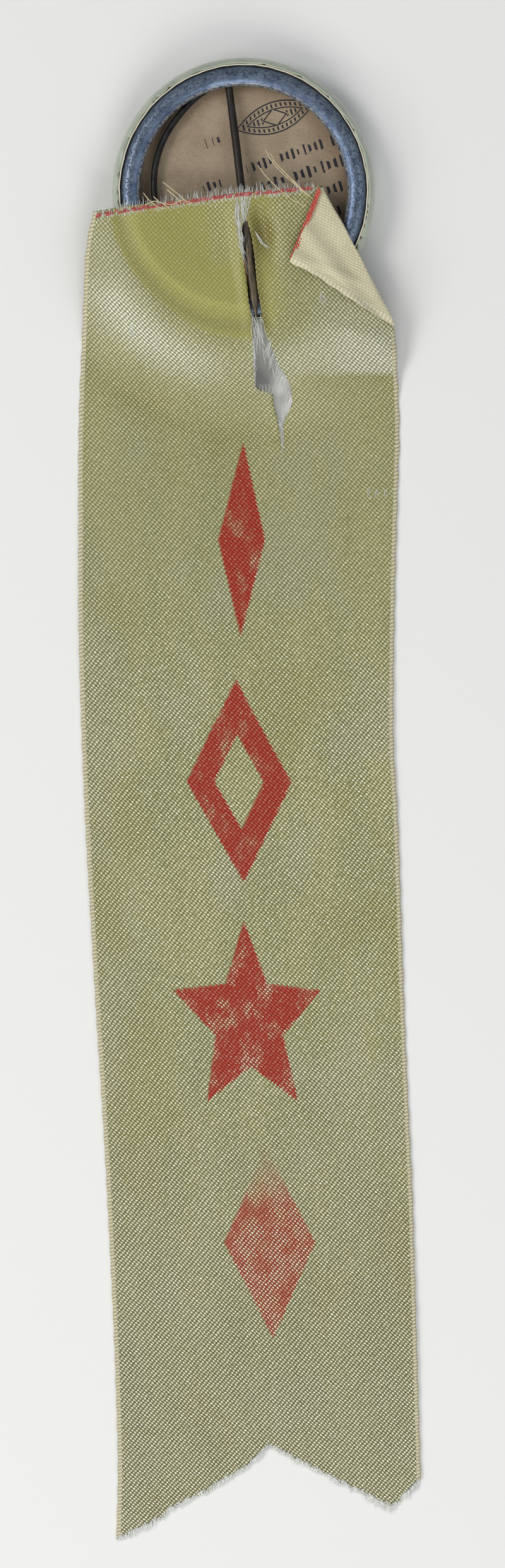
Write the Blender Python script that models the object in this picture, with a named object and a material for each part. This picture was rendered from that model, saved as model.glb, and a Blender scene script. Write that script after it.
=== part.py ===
"""A celluloid pin-back button lying face down, with a draped silk award ribbon threaded on its sprung wire pin.

Metres, +Z up. The button's printed face is its underside; the ribbon runs from the button along -Y.
"""

import math

import bmesh
import bpy

for old in list(bpy.data.objects):
    bpy.data.objects.remove(old)

MM = 0.001

# ---------------------------------------------------------------- driving sizes, mm
BUTTON_R = 15.75  # outside of the celluloid
BUTTON_X, BUTTON_Y = -1.3, 78.75  # button axis
DOME_R = 80.0  # curvature of the button's face
ROLL_R = 2.3  # radius of the rolled edge, outside
FACE_Z = 0.0  # lowest point of the face
SEGMENTS = 64

CELLULOID_T = 0.30
FACE_PAPER_T = 0.15
SHELL_T = 0.30
LAYER_GAP = 0.08

COLLET_T = 0.30
COLLET_LIP_R = 12.5  # middle of the collet's inner lip
COLLET_TOP_Z = 5.25  # middle of the collet's crown
BACK_PAPER_R = 13.9
BACK_PAPER_Z = 2.55
BACK_PAPER_T = 0.20

WIRE_R = 0.45
HOOP_R = 12.3
HOOP_DX, HOOP_DY = 1.05, 1.05  # the loose hoop sits off the button's axis
HOOP_Z = 3.75
HOOP_FROM, HOOP_TO = 76.0, -251.5  # degrees, running clockwise

ARM_ROOT = (-1.75, 12.35, 3.75)  # from the button's axis
ARM_TIP = (1.62, -14.95, 5.98)
ARM_POINT_L = 3.5  # tapered length
ARM_BEND_R = 0.95

RIBBON_W = 39.4
CLOTH_T = 0.30
HEAD_Z = 5.75  # underside of the cloth over the button's back
FOLD_Y = 61.6  # where the cloth leaves the button's rim
FOLD_GAP = 0.5
SLOPE_END_Y = 50.0  # where it meets the table
# ribbon's middle line: (y, x)
MIDDLE = ((62.0, -1.9), (50.0, -2.0), (26.0, -2.2), (2.0, -1.55), (-22.0, -0.5), (-47.0, 0.7), (-72.0, 1.8), (-95.0, 2.4))
TIP_L = (-17.3, -94.48)
NOTCH = (1.9, -81.5)
TIP_R = (18.2, -90.0)
SIDE_R = (22.6, -85.2)

CREASE_TOP = (8.0, 79.3)
CREASE_LOW = (16.9, 63.1)
CORNER_TIP = (4.2, 70.4)
CREASE_INSET = 0.25
CORNER_Z = 6.35
RED_W, RED_T = 0.42, 0.16

TEAR_TOP_Y = 75.2
TEAR_LOW_Y = 52.0


# ---------------------------------------------------------------- helpers
def material(name, colour, rough, metallic=0.0, alpha=1.0):
    made = bpy.data.materials.new(name)
    made.use_nodes = True
    shader = made.node_tree.nodes["Principled BSDF"]
    shader.inputs["Base Color"].default_value = (*colour, 1.0)
    shader.inputs["Roughness"].default_value = rough
    shader.inputs["Metallic"].default_value = metallic
    shader.inputs["Alpha"].default_value = alpha
    return made


def node(name, points, faces, mat, origin=(0.0, 0.0, 0.0), smooth=True):
    """One object from points in mm, with its own origin on the joint it rides."""
    data = bpy.data.meshes.new(name)
    data.from_pydata([tuple((p[i] - origin[i]) * MM for i in range(3)) for p in points], [], faces)
    bm = bmesh.new()
    bm.from_mesh(data)
    bmesh.ops.remove_doubles(bm, verts=bm.verts, dist=1e-7)
    bmesh.ops.recalc_face_normals(bm, faces=bm.faces)
    bm.to_mesh(data)
    bm.free()
    made = bpy.data.objects.new(name, data)
    made.location = [c * MM for c in origin]
    bpy.context.scene.collection.objects.link(made)
    if mat:
        data.materials.append(mat)
    if smooth:
        data.shade_smooth()
        data.set_sharp_from_angle(angle=math.radians(38))
    return made


def revolved(profile, centre):
    """A closed (r, z) profile turned about the vertical through centre."""
    points, faces, rings = [], [], []
    for r, z in profile:
        if r < 1e-6:
            rings.append([len(points)] * SEGMENTS)
            points.append((centre[0], centre[1], z))
        else:
            start = len(points)
            rings.append([start + s for s in range(SEGMENTS)])
            for s in range(SEGMENTS):
                a = 2 * math.pi * s / SEGMENTS
                points.append((centre[0] + r * math.cos(a), centre[1] + r * math.sin(a), z))
    n = len(rings)
    for i in range(n):
        a, b = rings[i], rings[(i + 1) % n]
        for s in range(SEGMENTS):
            t = (s + 1) % SEGMENTS
            face = []
            for v in (a[s], a[t], b[t], b[s]):
                if v not in face:
                    face.append(v)
            if len(face) > 2:
                faces.append(face)
    return points, faces


def strip(line, inner, outer):
    """A closed profile between two offsets of an open (r, z) line; positive offsets lie to its left."""
    sides = []
    for i, (r, z) in enumerate(line):
        a, b = line[max(i - 1, 0)], line[min(i + 1, len(line) - 1)]
        dr, dz = b[0] - a[0], b[1] - a[1]
        size = math.hypot(dr, dz)
        sides.append((-dz / size, dr / size))
    low = [(r + n[0] * inner, z + n[1] * inner) for (r, z), n in zip(line, sides)]
    high = [(r + n[0] * outer, z + n[1] * outer) for (r, z), n in zip(line, sides)]
    if line[0][0] < 1e-6:
        low[0], high[0] = (0.0, low[0][1]), (0.0, high[0][1])
    return low + high[::-1]


def tube(path, radii, sides=10):
    """A closed round bar along a path, with flat ends; a radius near zero makes a point."""
    points, faces = [], []
    up = (0.0, 0.0, 1.0)
    n = len(path)
    for i, p in enumerate(path):
        a, b = path[max(i - 1, 0)], path[min(i + 1, n - 1)]
        d = [b[k] - a[k] for k in range(3)]
        size = math.sqrt(sum(c * c for c in d))
        d = [c / size for c in d]
        u = (d[1] * up[2] - d[2] * up[1], d[2] * up[0] - d[0] * up[2], d[0] * up[1] - d[1] * up[0])
        size = math.sqrt(sum(c * c for c in u))
        u = [c / size for c in u]
        v = (d[1] * u[2] - d[2] * u[1], d[2] * u[0] - d[0] * u[2], d[0] * u[1] - d[1] * u[0])
        for s in range(sides):
            t = 2 * math.pi * s / sides
            points.append(tuple(p[k] + radii[i] * (math.cos(t) * u[k] + math.sin(t) * v[k]) for k in range(3)))
    for i in range(n - 1):
        for s in range(sides):
            t = (s + 1) % sides
            faces.append([i * sides + s, i * sides + t, (i + 1) * sides + t, (i + 1) * sides + s])
    faces.append(list(range(sides)))
    faces.append([(n - 1) * sides + s for s in range(sides)])
    return points, faces


def plate(outline, low, high):
    """A flat plate: an (x, y) outline between two heights."""
    n = len(outline)
    points = [(x, y, low) for x, y in outline] + [(x, y, high) for x, y in outline]
    faces = [list(range(n)), [n + i for i in range(n)]]
    faces += [[i, (i + 1) % n, n + (i + 1) % n, n + i] for i in range(n)]
    return points, faces


def middle(y):
    """The ribbon's middle line, eased between its stations."""
    for (y0, x0), (y1, x1) in zip(MIDDLE, MIDDLE[1:]):
        if y >= y1:
            t = min(max((y0 - y) / (y0 - y1), 0.0), 1.0)
            return x0 + (x1 - x0) * t
    return MIDDLE[-1][1]


def cloth_z(y):
    """Underside of the cloth: level over the button, then an S-shaped fall to the table."""
    if y >= FOLD_Y:
        return HEAD_Z
    t = min(max((FOLD_Y - y) / (FOLD_Y - SLOPE_END_Y), 0.0), 1.0)
    return HEAD_Z * (1.0 - t * t * (3.0 - 2.0 * t))


def button(x, y):
    return (BUTTON_X + x, BUTTON_Y + y)


AXIS = (BUTTON_X, BUTTON_Y)

# ---------------------------------------------------------------- button: outside line of the face, centre to rolled edge
roll_c = BUTTON_R - ROLL_R
dome_end = roll_c * DOME_R / (DOME_R - ROLL_R)  # where dome and roll are tangent
lean = math.asin(dome_end / DOME_R)
face_line = [(DOME_R * math.sin(lean * i / 7), FACE_Z + DOME_R * (1 - math.cos(lean * i / 7))) for i in range(8)]
roll_z = face_line[-1][1] + ROLL_R * math.cos(lean)
for i in range(1, 8):
    a = -math.pi / 2 + lean + (math.pi / 2 + 0.75 - lean) * i / 7
    face_line.append((roll_c + ROLL_R * math.cos(a), roll_z + ROLL_R * math.sin(a)))
shell_line = face_line[:-2]
paper_line = face_line[:-1]

paper_in = CELLULOID_T + LAYER_GAP
shell_in = paper_in + FACE_PAPER_T + LAYER_GAP

clear = material("celluloid", (0.83, 0.80, 0.70), 0.18)
paper_mat = material("face_paper", (0.86, 0.83, 0.74), 0.7)
tin = material("shell_tin", (0.42, 0.44, 0.46), 0.42, 1.0)
collet_tin = material("collet_tin", (0.50, 0.55, 0.60), 0.32, 1.0)
kraft = material("back_paper", (0.46, 0.35, 0.22), 0.85)
steel = material("hoop_wire", (0.20, 0.17, 0.14), 0.45, 1.0)
steel_arm = material("pin_wire", (0.36, 0.30, 0.23), 0.38, 1.0)
silk = material("ribbon_head_silk", (0.42, 0.41, 0.25), 0.42)
silk_tail = material("ribbon_tail_silk", (0.42, 0.41, 0.25), 0.42)
silk_back = material("ribbon_corner_silk", (0.56, 0.52, 0.37), 0.5)
red = material("red_thread_head", (0.42, 0.08, 0.05), 0.55)
red_back = material("red_thread_corner", (0.42, 0.08, 0.05), 0.55)

node("celluloid_cover", *revolved(strip(face_line, 0.0, CELLULOID_T), AXIS), clear)
node("face_paper", *revolved(strip(paper_line, paper_in, paper_in + FACE_PAPER_T), AXIS), paper_mat)
node("face_shell", *revolved(strip(shell_line, shell_in, shell_in + SHELL_T), AXIS), tin)

# ---------------------------------------------------------------- collet: a crowned ring whose lip curls back in over the wire
top = COLLET_TOP_Z
lip = COLLET_LIP_R
collet_line = [
    (lip + 1.35, top - 2.20),
    (lip + 1.80, top - 1.85),
    (lip + 2.06, top - 1.25),
    (lip + 2.06, top - 0.70),
    (lip + 1.85, top - 0.28),
    (lip + 1.40, top - 0.02),
    (lip + 0.90, top),
    (lip + 0.45, top - 0.12),
    (lip + 0.14, top - 0.38),
    (lip, top - 0.70),
]
node("collet", *revolved(strip(collet_line, -COLLET_T / 2, COLLET_T / 2), AXIS), collet_tin)

node(
    "back_paper",
    *revolved(
        [(0.0, BACK_PAPER_Z), (BACK_PAPER_R, BACK_PAPER_Z), (BACK_PAPER_R, BACK_PAPER_Z + BACK_PAPER_T), (0.0, BACK_PAPER_Z + BACK_PAPER_T)],
        AXIS,
    ),
    kraft,
)

# ---------------------------------------------------------------- wire: an open hoop, and the arm that springs from it
hoop_c = button(HOOP_DX, HOOP_DY)
hoop_path = []
for i in range(57):
    a = math.radians(HOOP_FROM + (HOOP_TO - HOOP_FROM) * i / 56)
    hoop_path.append((hoop_c[0] + HOOP_R * math.cos(a), hoop_c[1] + HOOP_R * math.sin(a), HOOP_Z))
node("pin_hoop", *tube(hoop_path, [WIRE_R] * len(hoop_path)), steel, origin=(*AXIS, HOOP_Z))

root = (*button(*ARM_ROOT[:2]), ARM_ROOT[2])
tip = (*button(*ARM_TIP[:2]), ARM_TIP[2])
along = [tip[k] - root[k] for k in range(3)]
arm_l = math.sqrt(sum(c * c for c in along))
along = [c / arm_l for c in along]
side = (along[1], -along[0])  # points back towards the hoop's end
size = math.hypot(*side)
side = (side[0] / size, side[1] / size)
arm_path, arm_radii = [], []
for i in range(6):
    a = math.radians(80.0 * (1 - i / 5))
    back, out = ARM_BEND_R * math.sin(a), ARM_BEND_R * (1 - math.cos(a))
    arm_path.append(
        (
            root[0] - along[0] * back + side[0] * out,
            root[1] - along[1] * back + side[1] * out,
            root[2],
        )
    )
    arm_radii.append(WIRE_R)
for share in (0.12, 0.35, 0.6, 1.0 - ARM_POINT_L / arm_l):
    arm_path.append(tuple(root[k] + along[k] * arm_l * share for k in range(3)))
    arm_radii.append(WIRE_R)
for left, r in ((0.55, 0.34), (0.22, 0.2), (0.0, 0.07)):
    arm_path.append(tuple(tip[k] - along[k] * ARM_POINT_L * left for k in range(3)))
    arm_radii.append(r)
node("pin_arm", *tube(arm_path, arm_radii), steel_arm, origin=root)


# ---------------------------------------------------------------- ribbon: head over the button, tail on the table, one corner folded back
def arm_x(y):
    """Where the pin's arm runs, seen from above."""
    return root[0] + (tip[0] - root[0]) * (root[1] - y) / (root[1] - tip[1])


cr = (CREASE_LOW[0] - CREASE_TOP[0], CREASE_LOW[1] - CREASE_TOP[1])
cl = math.hypot(*cr)
cr = (cr[0] / cl, cr[1] / cl)
inward = (cr[1], -cr[0])  # from the crease towards the cloth
head_low = FOLD_Y + FOLD_GAP / 2
tail_top = FOLD_Y - FOLD_GAP / 2
slit = WIRE_R + 0.30

head_outline = [
    (-20.9, head_low),
    (-20.3, 68.0),
    (-19.7, 74.0),
    (-19.2, 77.0),
    (-11.0, 78.0),
    (-2.0, 79.0),
    (CREASE_TOP[0] + inward[0] * CREASE_INSET, CREASE_TOP[1] + inward[1] * CREASE_INSET),
    (CREASE_LOW[0] + inward[0] * CREASE_INSET, CREASE_LOW[1] + inward[1] * CREASE_INSET),
    (17.0, head_low),
    (3.7, head_low),
    (arm_x(64.5) + slit + 0.9, 64.5),
    (arm_x(TEAR_TOP_Y - 1.5) + slit, TEAR_TOP_Y - 1.5),
    (arm_x(TEAR_TOP_Y) + 0.35, TEAR_TOP_Y),
    (arm_x(TEAR_TOP_Y) - 0.35, TEAR_TOP_Y),
    (arm_x(TEAR_TOP_Y - 1.5) - slit, TEAR_TOP_Y - 1.5),
    (arm_x(64.5) - slit, 64.5),
    (arm_x(head_low) - slit, head_low),
]
node("ribbon_head", *plate(head_outline, HEAD_Z, HEAD_Z + CLOTH_T), silk, origin=(arm_x(77.0), 77.0, HEAD_Z), smooth=False)

rows = [tail_top] + [tail_top - (tail_top - SLOPE_END_Y) * i / 8 for i in range(1, 9)]
rows += [38.0, 26.0, 14.0, 2.0, -10.0, -22.0, -34.0, -47.0, -59.0, -72.0, -84.0, -96.0]
points, faces = [], []
for y in rows:
    mid, z = middle(y), cloth_z(y)
    half = RIBBON_W / 2
    points += [(mid - half, y, z), (mid + half, y, z), (mid + half, y, z + CLOTH_T), (mid - half, y, z + CLOTH_T)]
for i in range(len(rows) - 1):
    for s in range(4):
        t = (s + 1) % 4
        faces.append([4 * i + s, 4 * i + t, 4 * i + 4 + t, 4 * i + 4 + s])
faces.append([0, 1, 2, 3])
faces.append([4 * (len(rows) - 1) + s for s in range(4)])
tail = node("ribbon_tail", points, faces, silk_tail, origin=(middle(FOLD_Y), FOLD_Y, HEAD_Z + CLOTH_T / 2), smooth=False)

cutters = {
    "cut_swallowtail": [TIP_L, NOTCH, TIP_R, SIDE_R, (30.0, -86.0), (30.0, -99.0), (-30.0, -99.0), (-30.0, -94.5)],
    "cut_tear": [
        (arm_x(head_low) - slit, FOLD_Y + 2.0),
        (0.2, 59.5),
        (0.9, 55.0),
        (2.6, 54.3),
        (4.0, TEAR_LOW_Y),
        (5.0, 53.4),
        (4.3, 57.5),
        (2.6, 59.8),
        (3.7, FOLD_Y + 2.0),
    ],
}
for name, outline in cutters.items():
    cutter = node(name, *plate(outline, -5.0, 12.0), None, smooth=False)
    cutter.hide_render = True
    cutter.display_type = "WIRE"
    cut = tail.modifiers.new(name, "BOOLEAN")
    cut.operation = "DIFFERENCE"
    cut.solver = "EXACT"
    cut.object = cutter

corner_outline = [
    (CREASE_TOP[0] + inward[0] * CREASE_INSET, CREASE_TOP[1] + inward[1] * CREASE_INSET),
    CORNER_TIP,
    (8.4, 67.6),
    (12.6, 65.0),
    (CREASE_LOW[0] + inward[0] * CREASE_INSET, CREASE_LOW[1] + inward[1] * CREASE_INSET),
]
crease_z = (HEAD_Z + CLOTH_T + CORNER_Z) / 2
node(
    "ribbon_corner",
    *plate(corner_outline, CORNER_Z, CORNER_Z + CLOTH_T),
    silk_back,
    origin=(*CREASE_TOP, crease_z),
    smooth=False,
)


def band(line, width, low, high):
    """A narrow flat strip along an open (x, y) line."""
    left, right = [], []
    for i, (x, y) in enumerate(line):
        a, b = line[max(i - 1, 0)], line[min(i + 1, len(line) - 1)]
        dx, dy = b[0] - a[0], b[1] - a[1]
        size = math.hypot(dx, dy)
        nx, ny = -dy / size * width / 2, dx / size * width / 2
        left.append((x + nx, y + ny))
        right.append((x - nx, y - ny))
    return plate(left + right[::-1], low, high)


head_top = HEAD_Z + CLOTH_T
red_low = head_top + 0.06
node(
    "red_line_head",
    *band([(-18.6, 76.2), (-11.0, 77.1), (-2.0, 78.1), (6.9, 78.4)], RED_W, red_low, red_low + RED_T),
    red,
    origin=(arm_x(77.0), 77.0, HEAD_Z),
    smooth=False,
)
corner_red_low = CORNER_Z + CLOTH_T + 0.06
node(
    "red_line_corner",
    *band([(8.1, 77.9), (6.4, 74.2), (4.9, 70.9)], RED_W, corner_red_low, corner_red_low + RED_T),
    red_back,
    origin=(*CREASE_TOP, crease_z),
    smooth=False,
)
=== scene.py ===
"""Looks for the award ribbon: pin-back button face down, silk ribbon threaded on its pin."""

import math

import bmesh
import bpy
import numpy as np
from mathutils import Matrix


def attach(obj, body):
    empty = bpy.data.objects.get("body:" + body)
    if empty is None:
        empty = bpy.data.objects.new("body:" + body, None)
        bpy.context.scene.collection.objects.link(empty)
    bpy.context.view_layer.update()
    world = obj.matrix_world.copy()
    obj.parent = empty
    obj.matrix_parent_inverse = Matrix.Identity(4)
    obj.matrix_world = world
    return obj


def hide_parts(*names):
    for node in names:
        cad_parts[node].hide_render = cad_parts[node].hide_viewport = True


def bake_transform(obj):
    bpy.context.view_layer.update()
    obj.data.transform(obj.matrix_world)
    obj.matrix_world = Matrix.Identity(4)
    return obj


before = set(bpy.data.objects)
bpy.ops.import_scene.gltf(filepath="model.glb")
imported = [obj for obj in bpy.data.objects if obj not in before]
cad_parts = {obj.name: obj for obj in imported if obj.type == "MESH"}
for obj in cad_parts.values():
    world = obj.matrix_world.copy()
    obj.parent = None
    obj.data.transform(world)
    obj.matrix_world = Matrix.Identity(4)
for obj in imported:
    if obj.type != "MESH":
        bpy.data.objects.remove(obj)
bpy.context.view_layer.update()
scene = bpy.context.scene
MM = 0.001
rng = np.random.default_rng(11)

# ------------------------------------------------------------------ sizes shared with the CAD part, mm
BX, BY = -1.3, 78.75
BUTTON_R = 15.75
DOME_R, ROLL_R = 80.0, 2.3
HOOP_Z, WIRE_R, HOOP_R = 3.75, 0.45, 12.3
ROOT = np.array([BX - 1.75, BY + 12.35, 3.75])
TIP = np.array([BX + 1.62, BY - 14.95, 5.98])
HALF_W = 19.7
HEAD_Z = 5.70  # middle of the cloth over the collet
TABLE_Z = 0.13
CLOTH_T = 0.13
LEFT = [(80, -18.6), (77, -19.15), (74.7, -19.7), (72.5, -20.15), (68, -20.57), (63.6, -20.9), (59, -21.2), (54.5, -21.45), (50, -21.6), (38, -21.75),
        (26.5, -21.84), (14, -21.65), (2.6, -21.3), (-9, -20.8), (-22, -20.18), (-35, -19.5), (-47, -18.95), (-60, -18.45), (-73, -18.03), (-84, -17.85), (-96, -18.2)]
RIGHT = [(79.4, 7.85), (76.8, 9.26), (74.8, 10.47), (73.05, 11.38), (71.06, 12.53), (68.84, 13.65), (66.26, 15.1), (64.57, 16.1), (63.1, 16.8), (61.4, 17.14),
         (59, 17.35), (54.5, 17.7), (50, 17.85), (45, 17.75), (36, 17.54), (26.5, 17.42), (17, 17.39), (12, 17.45), (2.6, 18.05), (-9, 18.55), (-22, 19.1),
         (-35, 19.75), (-47, 20.39), (-60, 20.9), (-73, 21.38), (-84, 21.8), (-96, 22.2)]
TEAR = [(-1.12, 75.5), (-1.5, 74.6), (-1.42, 73.2), (-1.3, 71.6), (-1.3, 70.2), (-1.08, 69.0), (-0.8, 67.6), (-0.62, 65.9), (-0.36, 63.9), (-0.14, 62.0), (0.01, 60.1),
        (0.01, 57.9), (0.16, 56.0), (0.62, 55.5), (1.7, 55.2), (2.24, 54.95), (2.32, 53.7), (2.71, 52.5), (2.94, 52.05), (3.11, 50.3), (3.3, 48.4), (3.42, 48.4),
        (3.45, 50.3), (3.87, 52.1), (4.63, 53.6), (4.54, 54.9), (4.3, 56.2), (3.76, 57.4), (2.91, 58.4), (2.22, 60.1), (1.5, 61.7), (0.95, 63.4), (0.72, 65.0),
        (0.42, 67.3), (0.2, 69.4), (-0.08, 71.6), (-0.27, 73.1), (-0.5, 74.5), (-0.8, 75.4)]
CREASE_A, CREASE_E = np.array([7.9, 79.25]), np.array([16.8, 63.1])
FLAP_EDGE = [(7.9, 79.25), (7.0, 77.0), (6.05, 74.8), (5.1, 72.6), (4.2, 70.5), (4.6, 70.3), (7.3, 69.0), (9.15, 67.75), (11.7, 66.1), (13.6, 64.9), (15.0, 64.1), (16.8, 63.1)]


def curve_at(table):
    """A smooth function through (y, x) stations."""
    ys = np.array([p[0] for p in table][::-1], float)
    xs = np.array([p[1] for p in table][::-1], float)
    slope = np.gradient(xs, ys)

    def at(y):
        y = np.asarray(y, float)
        i = np.clip(np.searchsorted(ys, y) - 1, 0, len(ys) - 2)
        h = ys[i + 1] - ys[i]
        t = np.clip((y - ys[i]) / h, 0, 1)
        return ((2 * t**3 - 3 * t**2 + 1) * xs[i] + (t**3 - 2 * t**2 + t) * h * slope[i] + (3 * t**2 - 2 * t**3) * xs[i + 1] + (t**3 - t**2) * h * slope[i + 1])

    return at


left_x, right_x = curve_at(LEFT), curve_at(RIGHT)


def smooth(t):
    t = np.clip(t, 0, 1)
    return t * t * (3 - 2 * t)


def waves(x, y, seed, scale):
    """Soft pseudo-noise from a few fixed sines, about -1 to 1."""
    r = np.random.default_rng(seed)
    out = 0
    for _ in range(7):
        a, k, ph = r.uniform(0, 2 * np.pi), scale * r.uniform(0.5, 1.8), r.uniform(0, 2 * np.pi)
        out = out + np.sin(k * (x * np.cos(a) + y * np.sin(a)) + ph)
    return out / 3.2


def arm_line(y):
    return ROOT[0] + (TIP[0] - ROOT[0]) * (ROOT[1] - y) / (ROOT[1] - TIP[1])


def cloth_height(x, y):
    """Middle of the cloth's thickness at rest: tight over the rim, sagging into the recess, falling to the table."""
    dx, dy = x - BX, y - BY
    r = np.hypot(dx, dy)
    th = np.degrees(np.arctan2(dy, dx))
    th = np.where(th > 90, th - 360, th)  # -270 to 90
    edge = np.interp(th, [-270, -180, -135, -90, -60, -40, 0, 90], [15.4, 15.4, 15.7, 16.3, 16.8, 16.6, 15.8, 15.8])
    fall = np.interp(th, [-270, -180, -135, -90, -60, -42, 0, 90], [14, 13, 12.0, 12.8, 14, 16, 18, 18])
    t = (r - edge) / fall
    crown = HEAD_Z - 0.24 * smooth((r - 13.5) / 1.9) + 0.06 * np.exp(-(((r - 13.35) / 0.55) ** 2))
    z = TABLE_Z + (crown - TABLE_Z) * (1 - smooth(t))
    inside = smooth((12.6 - r) / 6.0)
    off_arm = 1 - np.exp(-(((x - arm_line(y)) / 2.2) ** 2))
    z = z - 0.42 * inside * off_arm
    # lips of the tear: the left one curls up, the right one sinks beside the wire
    along = smooth((y - 60.0) / 4.0) * smooth((77.5 - y) / 2.0)
    d = x - arm_line(y)
    z = z + along * (0.26 * np.exp(-(((d + 1.1) / 0.7) ** 2)) - 0.20 * np.exp(-(((d - 1.3) / 1.0) ** 2)))
    z = z - 1.15 * np.exp(-(((d - 2.0) / 1.15) ** 2)) * np.exp(-(((y - 74.2) / 2.7) ** 2)) * smooth((78.6 - y) / 1.6)
    z = z + 0.30 * np.exp(-(((d - 4.6) / 1.4) ** 2)) * np.exp(-(((y - 73.0) / 4.5) ** 2))
    # hem puckers and the faint set of the cloth on the table
    z = z + 0.10 * waves(x, y, 3, 0.55) * smooth((y - 50) / 20)
    table = smooth((50 - y) / 12)
    creases = 0.07 * np.sin((x + 0.18 * (y + 60)) * 0.85) * smooth((-42 - y) / 18) * smooth((6 - x) / 8)
    z = z + table * (0.17 + 0.12 * waves(x, y, 5, 0.16) + creases)
    # a soft ridge that runs down-left from the low end of the folded corner
    ridge = (x - 14.5) * 0.50 + (y - 61.5) * 0.87
    z = z + 0.35 * np.exp(-((ridge / 1.4) ** 2)) * smooth((x - 4) / 8) * smooth((64 - y) / 2)
    return np.maximum(z, TABLE_Z)


# ------------------------------------------------------------------ mesh helpers (mm in, metres out)
def make(name, points, faces, body=None, materials=(), attributes=None, smooth_shade=True, index=None):
    data = bpy.data.meshes.new(name)
    data.from_pydata((np.asarray(points, float) * MM).tolist(), [], faces if isinstance(faces, list) else np.asarray(faces).tolist())
    for key, values in (attributes or {}).items():
        values = np.asarray(values, np.float32)
        kind = "FLOAT" if values.ndim == 1 else "FLOAT_VECTOR"
        data.attributes.new(key, kind, "POINT").data.foreach_set("value" if kind == "FLOAT" else "vector", values.ravel())
    for m in materials:
        data.materials.append(m)
    if index is not None:
        data.polygons.foreach_set("material_index", np.asarray(index, np.int32))
    data.polygons.foreach_set("use_smooth", [smooth_shade] * len(data.polygons))
    data.update()
    obj = bpy.data.objects.new(name, data)
    scene.collection.objects.link(obj)
    if body:
        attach(obj, body)
    return obj


def outward(obj):
    bm = bmesh.new()
    bm.from_mesh(obj.data)
    bmesh.ops.recalc_face_normals(bm, faces=bm.faces)
    bm.to_mesh(obj.data)
    bm.free()


def lathe(name, profile, segments, body, materials, wobble=None, attributes=True):
    """A closed (r, z) profile about the button's axis; wobble(theta, k) moves point k by (dr, dz)."""
    profile = np.asarray(profile, float)
    n = len(profile)
    th = np.arange(segments) * 2 * np.pi / segments
    r = np.repeat(profile[:, :1], segments, 1)
    z = np.repeat(profile[:, 1:], segments, 1)
    if wobble:
        dr, dz = wobble(th)
        r, z = r + dr, z + dz
    pts = np.stack([BX + r * np.cos(th), BY + r * np.sin(th), z], -1).reshape(-1, 3)
    i, s = np.meshgrid(np.arange(n), np.arange(segments), indexing="ij")
    a, b = i * segments + s, i * segments + (s + 1) % segments
    c, d = ((i + 1) % n) * segments + (s + 1) % segments, ((i + 1) % n) * segments + s
    faces = np.stack([a, b, c, d], -1).reshape(-1, 4)
    turn = np.stack([np.tile(th, n) * 14.0, np.repeat(np.arange(n), segments) * 0.2, np.zeros(n * segments)], -1)
    obj = make(name, pts, faces, None, materials, {"turn": turn})
    outward(obj)
    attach(obj, body)
    return obj


def tube_points(path, radii, sides, start=0):
    """Rings of one tube as (points, quads, caps)."""
    path, radii = np.asarray(path, float), np.asarray(radii, float)
    d = np.gradient(path, axis=0)
    d /= np.linalg.norm(d, axis=1)[:, None]
    up = np.array([0.0, 0.0, 1.0])
    u = np.cross(d, up)
    bad = np.linalg.norm(u, axis=1) < 1e-3
    u[bad] = np.cross(d[bad], [1.0, 0.0, 0.0])
    u /= np.linalg.norm(u, axis=1)[:, None]
    v = np.cross(d, u)
    a = np.arange(sides) * 2 * np.pi / sides
    ring = path[:, None] + radii[:, None, None] * (np.cos(a)[None, :, None] * u[:, None] + np.sin(a)[None, :, None] * v[:, None])
    n = len(path)
    i, s = np.meshgrid(np.arange(n - 1), np.arange(sides), indexing="ij")
    q = np.stack([i * sides + s, i * sides + (s + 1) % sides, (i + 1) * sides + (s + 1) % sides, (i + 1) * sides + s], -1).reshape(-1, 4) + start
    caps = [list(range(start, start + sides))[::-1], list(range(start + (n - 1) * sides, start + n * sides))]
    return ring.reshape(-1, 3), q.tolist(), caps


def threads(name, strands, materials, body=None, sides=4):
    """Many fine tubes as one mesh. A strand is (path, radius at root, radius at end)."""
    points, faces, tint, n = [], [], [], 0
    for path, r0, r1 in strands:
        path = np.asarray(path, float)
        p, q, caps = tube_points(path, np.linspace(r0, r1, len(path)), sides, n)
        points.append(p)
        faces += q + caps
        tint.append(np.full(len(p), rng.random()))
        n += len(p)
    obj = make(name, np.concatenate(points), faces, None, materials, {"tint": np.concatenate(tint)})
    if body:
        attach(obj, body)
    return obj


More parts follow.
